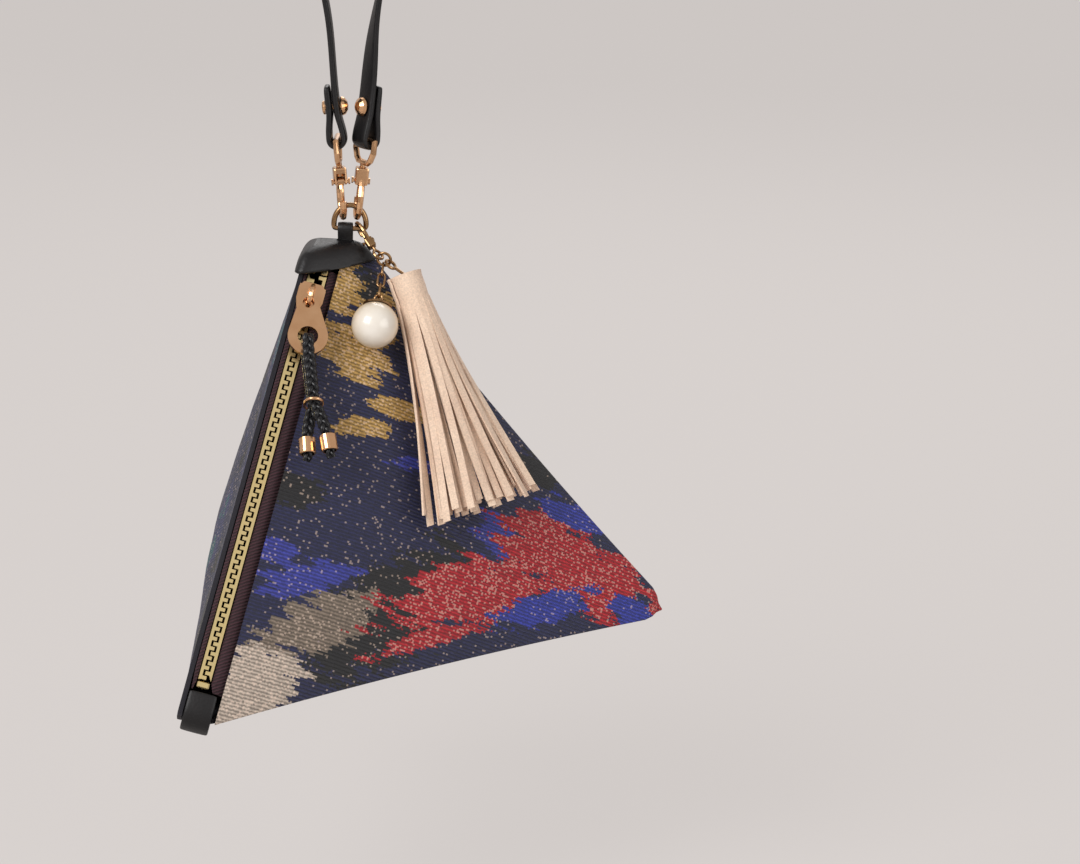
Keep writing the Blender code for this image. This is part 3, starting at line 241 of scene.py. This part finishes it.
rose_gold = metal_finish("zinc plated in rose gold", "DDB48C", "BE9068", 0.2)
antique_gold = metal_finish("zinc plated in antique gold", "A88560", "7A5F40", 0.24)
pale_brass = metal_finish("stamped pale brass", "EAD9A4", "C7B077", 0.3)
print(rose_gold.name, antique_gold.name, pale_brass.name)

# %% [markdown]
# ## The zip's own frame and the twill tape
# The tape is a burgundy cotton twill. Its ribs run slantwise across the tape at about 0.9 mm, so the
# pattern is measured in the zip's frame. A Mapping node of type Texture turns object coordinates
# into that frame, because the piece itself stays at the origin.

# %% Twill tape
TWILL_RIB = 0.9 * MM
zip_frame = Matrix(
    ((0.96651, 0.22226, 0.12832), (0, 0.5, -0.86603), (-0.25665, 0.83702, 0.48325))
).to_4x4()
zip_frame.translation = (-0.003904, 0.003552, -0.170942)
zip_tape, tree, shader = finish_named("cotton twill tape", Roughness=0.85)
place = add(tree, "TexCoord").outputs["Object"]
inside = add(tree, "Mapping", {"Vector": place, "Location": zip_frame.translation,
                               "Rotation": zip_frame.to_euler()}, vector_type="TEXTURE")
slant = add(tree, "Mapping", {"Vector": inside.outputs[0], "Rotation": (0, 0, math.radians(55))})
ribs = add(tree, "TexWave", {"Vector": slant.outputs[0], "Scale": 2 * math.pi / (20 * TWILL_RIB),
                             "Distortion": 0.6, "Detail": 2.0, "Detail Scale": 3.0})
fibre = add(tree, "TexNoise", {"Vector": place, "Scale": 1600.0, "Detail": 2.0})
deep = add(tree, "Mix", {"Factor": ribs.outputs["Fac"], "A": colour("160B0E"), "B": colour("53303A")},
           data_type="RGBA")
worn = add(tree, "Mix", {"Factor": fibre.outputs["Fac"], "A": deep.outputs["Result"], "B": colour("2A171B")},
           data_type="RGBA")
tree.links.new(worn.outputs["Result"], shader.inputs["Base Color"])
bump_from(tree, shader, ribs.outputs["Fac"], 0.2 * MM)
print("rib spacing", TWILL_RIB, "m")

# %% [markdown]
# ## Finer copies of the smooth CAD pieces
# Leather parts and wire rings are right in shape but have few faces. A copy is merged, its triangles
# are joined to quads, and a Subdivision Surface rounds it. Creases keep edges that should stay firm.


# %% Copy, merge and subdivide
def fine_copy(node, look, levels=2, crease_over=None):
    bpy.ops.object.select_all(action="DESELECT")
    piece = bpy.data.objects.new(node + "_fine", nodes[node].data.copy())
    bpy.context.scene.collection.objects.link(piece)
    piece.matrix_world = nodes[node].matrix_world.copy()
    piece.select_set(True)
    bpy.context.view_layer.objects.active = piece
    bpy.ops.object.transform_apply(location=True, rotation=True, scale=True)
    bpy.ops.object.mode_set(mode="EDIT")
    bpy.ops.mesh.select_all(action="SELECT")
    bpy.ops.mesh.remove_doubles(threshold=1e-6)
    bpy.ops.mesh.tris_convert_to_quads(face_threshold=math.radians(20), shape_threshold=math.radians(60))
    if crease_over:
        bpy.ops.mesh.select_all(action="DESELECT")
        bpy.ops.mesh.select_mode(type="EDGE")
        bpy.ops.mesh.edges_select_sharp(sharpness=math.radians(crease_over))
        bpy.ops.transform.edge_crease(value=0.85)
    bpy.ops.object.mode_set(mode="OBJECT")
    rounder = piece.modifiers.new("rounder", "SUBSURF")
    rounder.levels = rounder.render_levels = levels
    bpy.ops.object.modifier_apply(modifier=rounder.name)
    bpy.ops.object.shade_smooth_by_angle(angle=math.radians(40))
    piece.data.materials.clear()
    piece.data.materials.append(look)
    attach(piece, nodes[node]["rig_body"])
    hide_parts(node)
    return piece


for node, look, levels, crease in (
    ("wrist_strap", black_leather, 2, 60),
    ("ring_tab", black_leather, 2, None),
    ("bottom_tab", black_leather, 2, None),
    ("top_patch", black_leather, 2, 60),
    ("zip_tape_left", zip_tape, 1, 60),
    ("zip_tape_right", zip_tape, 1, 60),
    ("d_ring", antique_gold, 2, None),
    ("braid_ring", rose_gold, 2, None),
    ("jump_ring", antique_gold, 2, None),
    ("chain_link_1", antique_gold, 2, None),
    ("chain_link_2", antique_gold, 2, None),
    ("chain_link_3", antique_gold, 2, None),
):
    made = fine_copy(node, look, levels, crease)
    print(made.name, len(made.data.polygons))

# %% [markdown]
# ## Brocade
# The cloth is a jacquard: coloured weft threads float over ribs about 1.1 mm apart, and painted shade
# darkens the colour in the valleys between the ribs. Its design here is a set of loose brush strokes.
# Each stroke is an ellipse whose edge is frayed by a stretched noise, snapped to the stitches so that
# it steps as woven edges do. A random value for each stitch gives the small bright flecks. The pattern
# follows a UV map that is laid out in metres.

# %% Brocade material
STITCH = (0.55, 0.6, 1)
WEFT_RIB = 1.1 * MM
brocade, tree, shader = finish_named("silk jacquard brocade", Roughness=0.58, Sheen_Weight=0.06)
cloth = add(tree, "UVMap", uv_map="cloth").outputs[0]
in_mm = add(tree, "VectorMath", {0: cloth, "Scale": 1000.0}, operation="SCALE").outputs[0]
stitch = add(tree, "VectorMath", {0: in_mm, 1: STITCH}, operation="SNAP").outputs[0]
lot = add(tree, "TexWhiteNoise", {"Vector": stitch}, noise_dimensions="2D").outputs["Value"]
along = add(tree, "Mapping", {"Vector": stitch, "Rotation": (0, 0, math.radians(-30)),
                              "Scale": (0.30, 0.055, 1)}).outputs[0]
fray = add(tree, "TexNoise", {"Vector": along, "Scale": 1.0, "Detail": 6.0, "Roughness": 0.62})
fray = fray.outputs["Fac"]
fray = add(tree, "MapRange", {"Value": fray, "From Min": 0.3, "From Max": 0.7, "To Min": -0.62,
                              "To Max": 0.62}, clamp=False).outputs[0]
jitter = add(tree, "MapRange", {"Value": lot, "To Min": -0.09, "To Max": 0.09}).outputs[0]
ragged = add(tree, "Math", {0: fray, 1: jitter}, operation="ADD").outputs[0]
swell = add(tree, "TexNoise", {"Vector": stitch, "Scale": 0.021, "Detail": 4.0, "Roughness": 0.6})
swell = swell.outputs["Fac"]
ground = add(tree, "ValToRGB", {"Fac": swell})
ground.color_ramp.interpolation = "CONSTANT"
STOPS = (
    (0.0, "16181E"), (0.40, "1E2344"), (0.47, "262C5A"), (0.53, "1D5560"), (0.58, "22264A"), (0.66, "A9834A"),
)
for i, (at, code) in enumerate(STOPS):
    stop = ground.color_ramp.elements[i] if i < 2 else ground.color_ramp.elements.new(at)
    stop.position = at
    stop.color = colour(code)
away = add(tree, "SeparateXYZ", {"Vector": in_mm}).outputs["X"]
away = add(tree, "Math", {0: away, 1: 250.0}, operation="GREATER_THAN").outputs[0]
cloth_colour = add(tree, "Mix", {"Factor": away, "A": colour("20244A"), "B": ground.outputs["Color"]},
                   data_type="RGBA").outputs["Result"]
STROKES = (
    ("16171B", ((119, 56, 15, 36, 42), (92, 14, 5, 12, 0), (24, 22, 6, 9, 0), (58, 92, 5, 15, 10))),
    ("3B42A0", ((117, 26, 5, 15, 25), (112, 14, 4, 8, 0), (84, 84, 8, 9, 0), (70, 60, 3, 14, 10))),
    ("8C7D6E", ((131, 33, 8, 22, 38),)),
    ("D3C2B2", ((152, 21, 11, 16, 30), (161, 12, 9, 12, 0))),
    ("C9A05A", ((20, 12, 4, 6, 20), (29, 16, 6, 7, 30), (38, 8, 14, 4, 0), (45, 23, 7, 13, 0),
                (57, 43, 3, 11, 10), (66, 33, 3, 9, 20), (31, 30, 9, 5, 0))),
    ("BE1F2C", ((105, 82, 10, 31, 29), (84, 108, 13, 24, -8), (122, 72, 3, 20, 33), (86, 126, 12, 12, 0))),
    ("3540A6", ((101, 106, 5, 16, 33), (92, 136, 5, 8, 0), (67, 112, 4, 16, 0))),
    ("C4232E", ((84, 147, 6, 8, 0),)),
)
for code, ovals in STROKES:
    nearest = None
    for a, b, wide, long, angle in ovals:
        local = add(tree, "Mapping", {"Vector": stitch, "Location": (a, b, 0),
                                      "Rotation": (0, 0, math.radians(angle)),
                                      "Scale": (wide, long, 1)}, vector_type="TEXTURE").outputs[0]
        reach = add(tree, "VectorMath", {0: local}, operation="LENGTH").outputs["Value"]
        if nearest is not None:
            reach = add(tree, "Math", {0: nearest, 1: reach}, operation="MINIMUM").outputs[0]
        nearest = reach
    edge = add(tree, "Math", {0: nearest, 1: ragged}, operation="ADD").outputs[0]
    inside = add(tree, "Math", {0: edge, 1: 1.0}, operation="LESS_THAN").outputs[0]
    cloth_colour = add(tree, "Mix", {"Factor": inside, "A": cloth_colour, "B": colour(code)},
                       data_type="RGBA").outputs["Result"]
rib = add(tree, "TexWave", {"Vector": cloth, "Scale": 2 * math.pi / (20 * WEFT_RIB), "Distortion": 1.2,
                            "Detail": 1.0, "Detail Scale": 4.0}).outputs["Fac"]
# painted shade: the colour darkens in the rib valleys, and each stitch's random tone then scales it too
painted_rib_shade = add(tree, "MapRange", {"Value": rib, "To Min": 0.45, "To Max": 1.1}).outputs[0]
thread = add(tree, "MapRange", {"Value": lot, "To Min": 0.62, "To Max": 1.12}).outputs[0]
painted_rib_shade = add(tree, "Math", {0: painted_rib_shade, 1: thread}, operation="MULTIPLY").outputs[0]
shaded = add(tree, "VectorMath", {0: cloth_colour, "Scale": painted_rib_shade}, operation="SCALE").outputs[0]
warmth = add(tree, "SeparateColor", {"Color": cloth_colour}).outputs["Red"]
rare = add(tree, "Math", {0: warmth, 1: -0.32, 2: 0.965}, operation="MULTIPLY_ADD").outputs[0]
bright = add(tree, "Math", {0: lot, 1: rare}, operation="GREATER_THAN").outputs[0]
bright = add(tree, "Math", {0: bright, 1: 0.34}, operation="MULTIPLY").outputs[0]
flecked = add(tree, "Mix", {"Factor": bright, "A": shaded, "B": colour("E6CDBB")}, data_type="RGBA")
tree.links.new(flecked.outputs["Result"], shader.inputs["Base Color"])
height = add(tree, "Math", {0: lot, 1: 0.4}, operation="MULTIPLY").outputs[0]
height = add(tree, "Math", {0: height, 1: rib}, operation="ADD").outputs[0]
bump_from(tree, shader, height, 0.22 * MM, 0.9)
lining, tree, shader = finish_named("cotton lining", Roughness=0.9)
weave = add(tree, "TexNoise", {"Vector": add(tree, "TexCoord").outputs["Object"], "Scale": 1500.0})
tint = add(tree, "Mix", {"Factor": weave.outputs["Fac"], "A": colour("141318"), "B": colour("26242C")},
           data_type="RGBA")
tree.links.new(tint.outputs["Result"], shader.inputs["Base Color"])
print("strokes", len(STROKES))

# %% [markdown]
# ## The pouch's cloth
# The bag is a tetrahedron: one tube of cloth, closed by two seams at right angles to each other.
# A cone with three sides has that form, so it is the start. It is subdivided finely, then each point
# moves to where the filled cloth stands: faces bulge, edges are drawn in, corners are blunt and
# small wrinkles cross the faces. The UV map is laid out while the faces are still flat.

# %% Build the tetrahedron
EDGE, BULGE, PINCH, TIP_PULL, FLAT = 175 * MM, 5 * MM, 2.5 * MM, 5 * MM, 48 * MM
DOWN, BASE = EDGE * math.sqrt(2 / 3), EDGE / math.sqrt(3)
TOP_CUT, WALL, EDGE_ROUND = 20 * MM, 1.4 * MM, 2.4 * MM
corners = [Vector((0, 0, 0))]
for degrees in (-120, 0, 120):
    angle = math.radians(degrees)
    corners.append(Vector((BASE * math.cos(angle), BASE * math.sin(angle), -DOWN)))
middle = sum(corners, Vector()) / 4
bpy.ops.object.select_all(action="DESELECT")
bpy.ops.mesh.primitive_cone_add(vertices=3, radius1=BASE, radius2=0, depth=DOWN, location=(0, 0, -DOWN / 2))
pouch = bpy.context.object
pouch.name = "pouch_cloth"
bpy.ops.object.transform_apply(location=True, rotation=True, scale=True)
low = [v for v in pouch.data.vertices if v.co.z < -DOWN / 2]
low.sort(key=lambda v: math.atan2(v.co.y, v.co.x))
for vert, corner in zip(low, corners[1:]):
    vert.co = corner
bpy.ops.object.mode_set(mode="EDIT")
bpy.ops.mesh.select_all(action="SELECT")
bpy.ops.mesh.subdivide(number_cuts=43)
bpy.ops.object.mode_set(mode="OBJECT")
print("points", len(pouch.data.vertices))

# %% Lay out the cloth and shape it
to_shares = Matrix([[*c, 1] for c in corners]).transposed().inverted()
shares = [to_shares @ Vector((*v.co, 1)) for v in pouch.data.vertices]
cloth_map = pouch.data.uv_layers.active or pouch.data.uv_layers.new(name="cloth")
cloth_map.name = "cloth"
LAYOUT = {3: (0, 1, 2, 0.0), 1: (0, 2, 3, 0.3), 2: (0, 1, 3, 0.6), 0: (1, 3, 2, 0.9)}
for face in pouch.data.polygons:
    total = [sum(shares[i][k] for i in face.vertices) for k in range(4)]
    origin, first, second, offset = LAYOUT[total.index(min(total))]
    for loop in face.loop_indices:
        share = shares[pouch.data.loops[loop].vertex_index]
        cloth_map.data[loop].uv = (offset + EDGE * (share[first] + share[second] / 2),
                                   EDGE * math.sqrt(0.75) * share[second])


def ease(t):
    t = min(1.0, max(0.0, t))
    return t * t * (3 - 2 * t)


for vert, share in zip(pouch.data.vertices, shares):
    missing = min(range(4), key=lambda k: share[k])
    kept = [k for k in range(4) if k != missing]
    outward = (sum((corners[k] for k in kept), Vector()) / 3 - middle).normalized()
    rise = BULGE * 27 * share[kept[0]] * share[kept[1]] * share[kept[2]]
    wrinkle = noise.noise(vert.co * 34) * 0.9 * MM + noise.noise(vert.co * 85) * 0.35 * MM
    calm = ease(min(share[k] for k in kept) / 0.12)
    if 0 in kept and 1 in kept:
        flat = ease((1 - share[0] - share[1]) * EDGE / FLAT)
        rise *= flat
        calm *= flat
    point = vert.co + outward * (rise + wrinkle * calm)
    for n in range(3):
        i, j, k = kept[n], kept[(n + 1) % 3], kept[(n + 2) % 3]
        if {i, j} != {0, 1}:
            inward = (middle - (corners[i] + corners[j]) / 2).normalized()
            point += inward * PINCH * 4 * share[i] * share[j] * (1 - share[k]) ** 2
    for k in kept:
        point += (middle - corners[k]).normalized() * TIP_PULL * ease((share[k] - 0.93) / 0.07)
    vert.co = point
print("shaped", [round(v * 1000) for v in pouch.dimensions])

# %% Cut the top, round the edges and give it its thickness
bpy.ops.object.mode_set(mode="EDIT")
bpy.ops.mesh.select_all(action="SELECT")
bpy.ops.mesh.bisect(plane_co=(0, 0, -TOP_CUT), plane_no=(0, 0, 1), clear_outer=True)
bpy.ops.object.mode_set(mode="OBJECT")
pouch_frame = Matrix(((0.99678, 0, -0.0802), (0, 1, 0), (0.0802, 0, 0.99678))).to_4x4()
pouch_frame.translation = (-0.0085, 0, -0.1676)
pouch.data.transform(pouch_frame)
edges = pouch.modifiers.new("rounded edges", "BEVEL")
edges.width = EDGE_ROUND
edges.segments = 3
edges.limit_method = "ANGLE"
edges.angle_limit = math.radians(40)
wall = pouch.modifiers.new("wall", "SOLIDIFY")
wall.thickness = WALL
wall.offset = -1
wall.material_offset = LINING_SLOT
pouch.data.materials.append(brocade)
pouch.data.materials.append(lining)
for name in ("rounded edges", "wall"):
    bpy.ops.object.modifier_apply(modifier=name)
print("faces", len(pouch.data.polygons))

# %% [markdown]
# ## The zip's opening
# The tapes are sewn under the cloth's edges, so the cloth stops beside them. Three boxes in the
# zip's frame cut that opening, as they do in the solid that collides.

# %% Cut the slots
CUTS = (
    ((-8.3, -3.3), (-176, -18), (-0.6, 14)),
    ((-3.5, 6.3), (-176, -18), (-2.6, 14)),
    ((-8.3, 6.3), (-196, -166.6), (-10, 14)),
)
for spans in CUTS:
    size = [(high - low) * MM for low, high in spans]
    centre = Vector([(high + low) / 2 * MM for low, high in spans])
    bpy.ops.object.select_all(action="DESELECT")
    bpy.ops.mesh.primitive_cube_add(size=1)
    block = bpy.context.object
    block.data.transform(zip_frame @ Matrix.Translation(centre) @ Matrix.Diagonal((*size, 1)))
    bpy.ops.object.select_all(action="DESELECT")
    pouch.select_set(True)
    bpy.context.view_layer.objects.active = pouch
    cut = pouch.modifiers.new("slot", "BOOLEAN")
    cut.object = block
    cut.operation = "DIFFERENCE"
    cut.solver = "EXACT"
    cut.use_self = True
    bpy.ops.object.modifier_apply(modifier=cut.name)
    bpy.data.objects.remove(block, do_unlink=True)
# the cut edges have no place on the cloth's map, so they show the dark lining
laid_out = pouch.data.uv_layers["cloth"].data
for face in pouch.data.polygons:
    if all(laid_out[loop].uv.length < 1e-6 for loop in face.loop_indices):
        face.material_index = LINING_SLOT
bpy.ops.object.shade_smooth_by_angle(angle=math.radians(50))
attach(pouch, nodes["pouch_shell"]["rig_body"])
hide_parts("pouch_shell")
print("faces after the cuts", len(pouch.data.polygons))

# %% [markdown]
# ## The braided cord on the zip's pull
# Three waxed laces are plaited into a round cord, which is doubled through the pull's hole and held
# by a ring. Each lace swings from side to side along the cord's path, and at double the pace to the
# front and back. Three of them, a third of a turn apart, weave into a plait.

# %% Plait both legs
pull_frame = Matrix(
    ((0.99173, -0.02091, 0.12661), (0.11248, 0.61666, -0.77915), (-0.06178, 0.78695, 0.61392))
).to_4x4()
pull_frame.translation = (-0.01149, -0.017814, -0.199511)
# millimetres in the pull's frame: the hole's rim, the cord's bend, the ring and the caps below it
RIM, TURN, BIND, CAP, PULL = -15.6, 2.9, 17.5, 28.0, math.tan(math.radians(7))
PLAIT_PITCH, SWING_ACROSS, SWING_OUT = 7.5, 1.05, 0.55


def smooth_path(points, steps):
    padded = [2 * points[0] - points[1], *points, 2 * points[-1] - points[-2]]
    path = []
    for i in range(1, len(padded) - 2):
        a, b, c, d = padded[i - 1 : i + 3]
        for k in range(steps):
            t = k / steps
            bend = (2 * a - 5 * b + 4 * c - d) * t**2 + (3 * b - a - 3 * c + d) * t**3
            path.append(0.5 * (2 * b + (c - a) * t + bend))
    return path + [points[-1]]


def plait(word, side):
    def at(down, across, out):
        return Vector((across + down * PULL, RIM - down, side * out))

    points = [Vector((0, RIM + 4.0, side * 0.15)), Vector((0, RIM + 3.95, side * 0.9)),
              Vector((0, RIM + 3.05, side * 2.4)),
              at(0, 0, TURN), at(6, 0, TURN * 0.98), at(BIND - 3, 0, 2.3), at(BIND, 0, 1.85),
              at(BIND + 3, side * 1.0, 1.95), at(CAP, side * 2.9, 1.6), at(CAP + 7, side * 3.3, 1.6)]
    path = smooth_path(points, 3)
    fine = smooth_path(points, 14)
    strands = bpy.data.curves.new("braid", "CURVE")
    strands.dimensions = "3D"
    strands.bevel_depth = 0.85 * MM
    strands.bevel_resolution = 3
    strands.use_fill_caps = True
    for n in range(3):
        spline = strands.splines.new("POLY")
        spline.points.add(len(fine) - 1)
        run = 0.0
        for i, point in enumerate(fine):
            ahead = (fine[min(i + 1, len(fine) - 1)] - fine[max(i - 1, 0)]).normalized()
            run += (point - fine[i - 1]).length if i else 0
            across = (Vector((1, 0, 0)) - ahead * ahead.x).normalized()
            out = ahead.cross(across)
            phase = 2 * math.pi * (run / PLAIT_PITCH + n / 3)
            size = 1 - 0.15 * (1 - ease(abs(point.y - (RIM - BIND)) / 4))
            size *= 1 - 0.22 * ease((RIM - CAP + 2.5 - point.y) / 2.5)
            swing = across * SWING_ACROSS * math.sin(phase) + out * SWING_OUT * math.sin(2 * phase)
            place = point + size * swing
            spline.points[i].co = (*(pull_frame @ (place * MM)), 1)
            spline.points[i].radius = size
    bpy.ops.object.select_all(action="DESELECT")
    cord = bpy.data.objects.new(f"braided_cord_{word}", strands)
    bpy.context.scene.collection.objects.link(cord)
    cord.select_set(True)
    bpy.context.view_layer.objects.active = cord
    bpy.ops.object.convert(target="MESH")
    cord = bpy.context.object
    bpy.ops.object.shade_smooth_by_angle(angle=math.radians(60))
    cord.data.materials.clear()
    cord.data.materials.append(cord_leather)
    node = f"braid_{word}"
    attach(cord, nodes[node]["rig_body"])
    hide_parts(node)
    route = [pull_frame @ (p * MM) for p in path]
    length = sum((b - a).length for a, b in zip(route, route[1:]))
    return length


print("cord lengths", round(plait("front", 1), 4), round(plait("back", -1), 4))

# %% [markdown]
# ## Suede and the tassel
# A tassel like this is one sheet of suede, cut into strips and rolled up tight above them. Suede is
# the flesh side of the hide, so it has a soft nap: matt, a little paler where it is brushed.
# The head is a spiral sheet with thickness. Below it, every strip follows the roll's spiral and
# spreads towards the foot, each with its own length, twist and splay.

# %% Suede material
suede, tree, shader = finish_named("peach suede", Roughness=0.92, Sheen_Weight=0.25, Sheen_Roughness=0.4)
place = add(tree, "TexCoord").outputs["Object"]
nap = add(tree, "TexNoise", {"Vector": place, "Scale": 1900.0, "Detail": 3.0})
brushed = add(tree, "TexNoise", {"Vector": place, "Scale": 95.0, "Detail": 3.0})
tint = add(tree, "Mix", {"Factor": brushed.outputs["Fac"], "A": colour("F2DAC2"), "B": colour("D9B9A2")},
           data_type="RGBA")
dots = add(tree, "MapRange", {"Value": nap.outputs["Fac"], "From Min": 0.35, "From Max": 0.65, "To Min": 0.84,
                              "To Max": 1.06})
napped = add(tree, "VectorMath", {0: tint.outputs["Result"], "Scale": dots.outputs[0]}, operation="SCALE")
tree.links.new(napped.outputs[0], shader.inputs["Base Color"])
bump_from(tree, shader, nap.outputs["Fac"], 0.12 * MM, 0.6)
print(suede.name)

# %% Roll the head and spread the strips
tassel_frame = Matrix(
    ((-0.83706, 0.42464, -0.34499), (-0.52465, -0.80184, 0.28599), (-0.15518, 0.42039, 0.89397))
).to_4x4()
tassel_frame.translation = (0.017, -0.0071, -0.1926)
LONG, HEAD = 76.0, 9.0
ROLL_IN, ROLL_PITCH, ROLL_TURNS = 1.5, 0.95, 4
STRIP_SPACING, HIDE = 1.7, 0.62


def on_roll(angle, radius, down):
    share = max(0.0, (down - HEAD) / (LONG - HEAD))
    grow = ease(share * 0.5) + share * 0.5
    wide, deep = 1 + 2.9 * grow, 1 - 0.05 * grow
    return Vector((radius * math.cos(angle) * wide, radius * math.sin(angle) * deep, -down))


points, faces = [], []
steps = 150
for i in range(steps):
    angle = 2 * math.pi * ROLL_TURNS * i / (steps - 1)
    for down in (0, 1.5, 4.5, 7.5, 9.5):
        neck = 1 + 0.05 * math.cos(down * 1.1)
        radius = (ROLL_IN + ROLL_PITCH * angle / (2 * math.pi)) * neck
        points.append(tassel_frame @ (on_roll(angle, radius, down) * MM))
for i in range(steps - 1):
    for k in range(4):
        faces.append((5 * i + k, 5 * i + k + 1, 5 * i + k + 6, 5 * i + k + 5))
angle = 0.0
strips = []
while angle < 2 * math.pi * ROLL_TURNS:
    radius = ROLL_IN + ROLL_PITCH * angle / (2 * math.pi)
    strips.append((angle, radius))
    angle += STRIP_SPACING / radius
rows = 12
for angle, radius in strips:
    long = LONG - random.uniform(0.0, 5.5)
    twist = random.uniform(-0.5, 0.5)
    splay = random.uniform(-0.06, 0.12)
    sway = random.uniform(-1.2, 1.2)
    start = len(points)
    for k in range(rows + 1):
        share = k / rows
        down = HEAD - 0.8 + (long - HEAD + 0.8) * share
        centre = on_roll(angle, radius * (1 + splay * share), down)
        ahead = (on_roll(angle + 0.05, radius, down) - on_roll(angle - 0.05, radius, down)).normalized()
        ahead = Matrix.Rotation(twist * share * share, 3, "Z") @ ahead
        centre += ahead * sway * math.sin(share * math.pi) * 0.5
        half = ahead * (1.0 + 0.12 * share)
        points += [tassel_frame @ ((centre - half) * MM), tassel_frame @ ((centre + half) * MM)]
    for k in range(rows):
        a = start + 2 * k
        faces.append((a, a + 2, a + 3, a + 1))
sheet = bpy.data.meshes.new("tassel_suede")
sheet.from_pydata(points, [], faces)
tassel = bpy.data.objects.new("tassel_suede", sheet)
bpy.context.scene.collection.objects.link(tassel)
bpy.ops.object.select_all(action="DESELECT")
tassel.select_set(True)
bpy.context.view_layer.objects.active = tassel
thick = tassel.modifiers.new("hide", "SOLIDIFY")
thick.thickness = HIDE * MM
thick.offset = 0
bpy.ops.object.modifier_apply(modifier=thick.name)
bpy.ops.object.shade_smooth_by_angle(angle=math.radians(40))
tassel.data.materials.append(suede)
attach(tassel, nodes["tassel"]["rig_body"])
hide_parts("tassel")
print("strips", len(strips), "faces", len(sheet.polygons))

# %% [markdown]
# ## The pearl
# A resin bead under many coats of pearl lacquer. It has a soft body colour, a clear glossy coat and a
# faint warm rim of painted sheen, which Layer Weight gives by the angle of view. The bead starts as a
# sphere and gets the small dimple of its bore under the cap.

# %% Pearl
pearl_finish, tree, shader = finish_named("pearl lacquer", Roughness=0.28, Coat_Weight=0.8, Coat_Roughness=0.06)
edge = add(tree, "LayerWeight", {"Blend": 0.35})
cloud = add(tree, "TexNoise", {"Vector": add(tree, "TexCoord").outputs["Object"], "Scale": 260.0, "Detail": 3.0})
body = add(tree, "Mix", {"Factor": cloud.outputs["Fac"], "A": colour("EFEAE2"), "B": colour("E4DCCF")},
           data_type="RGBA")
# painted sheen: a warm rim mixed into the base colour by the angle of view
painted_rim_sheen = add(tree, "Mix", {"Factor": edge.outputs["Facing"], "A": body.outputs["Result"], "B": colour("D8BE96")},
          data_type="RGBA")
tree.links.new(painted_rim_sheen.outputs["Result"], shader.inputs["Base Color"])
PEARL_RADIUS, BORE = 7.1 * MM, 0.9 * MM
low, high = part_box("pearl")
centre = (low + high) / 2
bpy.ops.object.select_all(action="DESELECT")
bpy.ops.mesh.primitive_uv_sphere_add(segments=64, ring_count=40, radius=PEARL_RADIUS)
pearl = bpy.context.object
pearl.name = "pearl_bead"
for vert in pearl.data.vertices:
    if vert.co.z > 0 and vert.co.xy.length < BORE:
        vert.co.z -= 1.2 * MM * (1 - vert.co.xy.length / BORE)
hang = Vector((0.08859, 0.64448, 0.75947))
pearl.data.transform(Matrix.Translation(centre) @ hang.to_track_quat("Z", "Y").to_matrix().to_4x4())
bpy.ops.object.shade_smooth_by_angle(angle=math.radians(50))
pearl.data.materials.append(pearl_finish)
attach(pearl, nodes["pearl"]["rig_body"])
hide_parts("pearl")
print("pearl centre", [round(v * 1000, 1) for v in centre])

# %% [markdown]
# ## Finishes of the metal that stays
# The hooks, slider, studs, caps and teeth keep their CAD form and take the metals made above.

# %% Assign the metals
for name, obj in nodes.items():
    look = rose_gold
    if name.startswith(("charm", "tassel", "pearl_cap", "jump", "chain", "d_ring")):
        look = antique_gold
    elif "teeth" in name or "stop" in name:
        look = pale_brass
    for slot in obj.material_slots:
        slot.material = look
print("nodes with a metal finish", len(nodes))
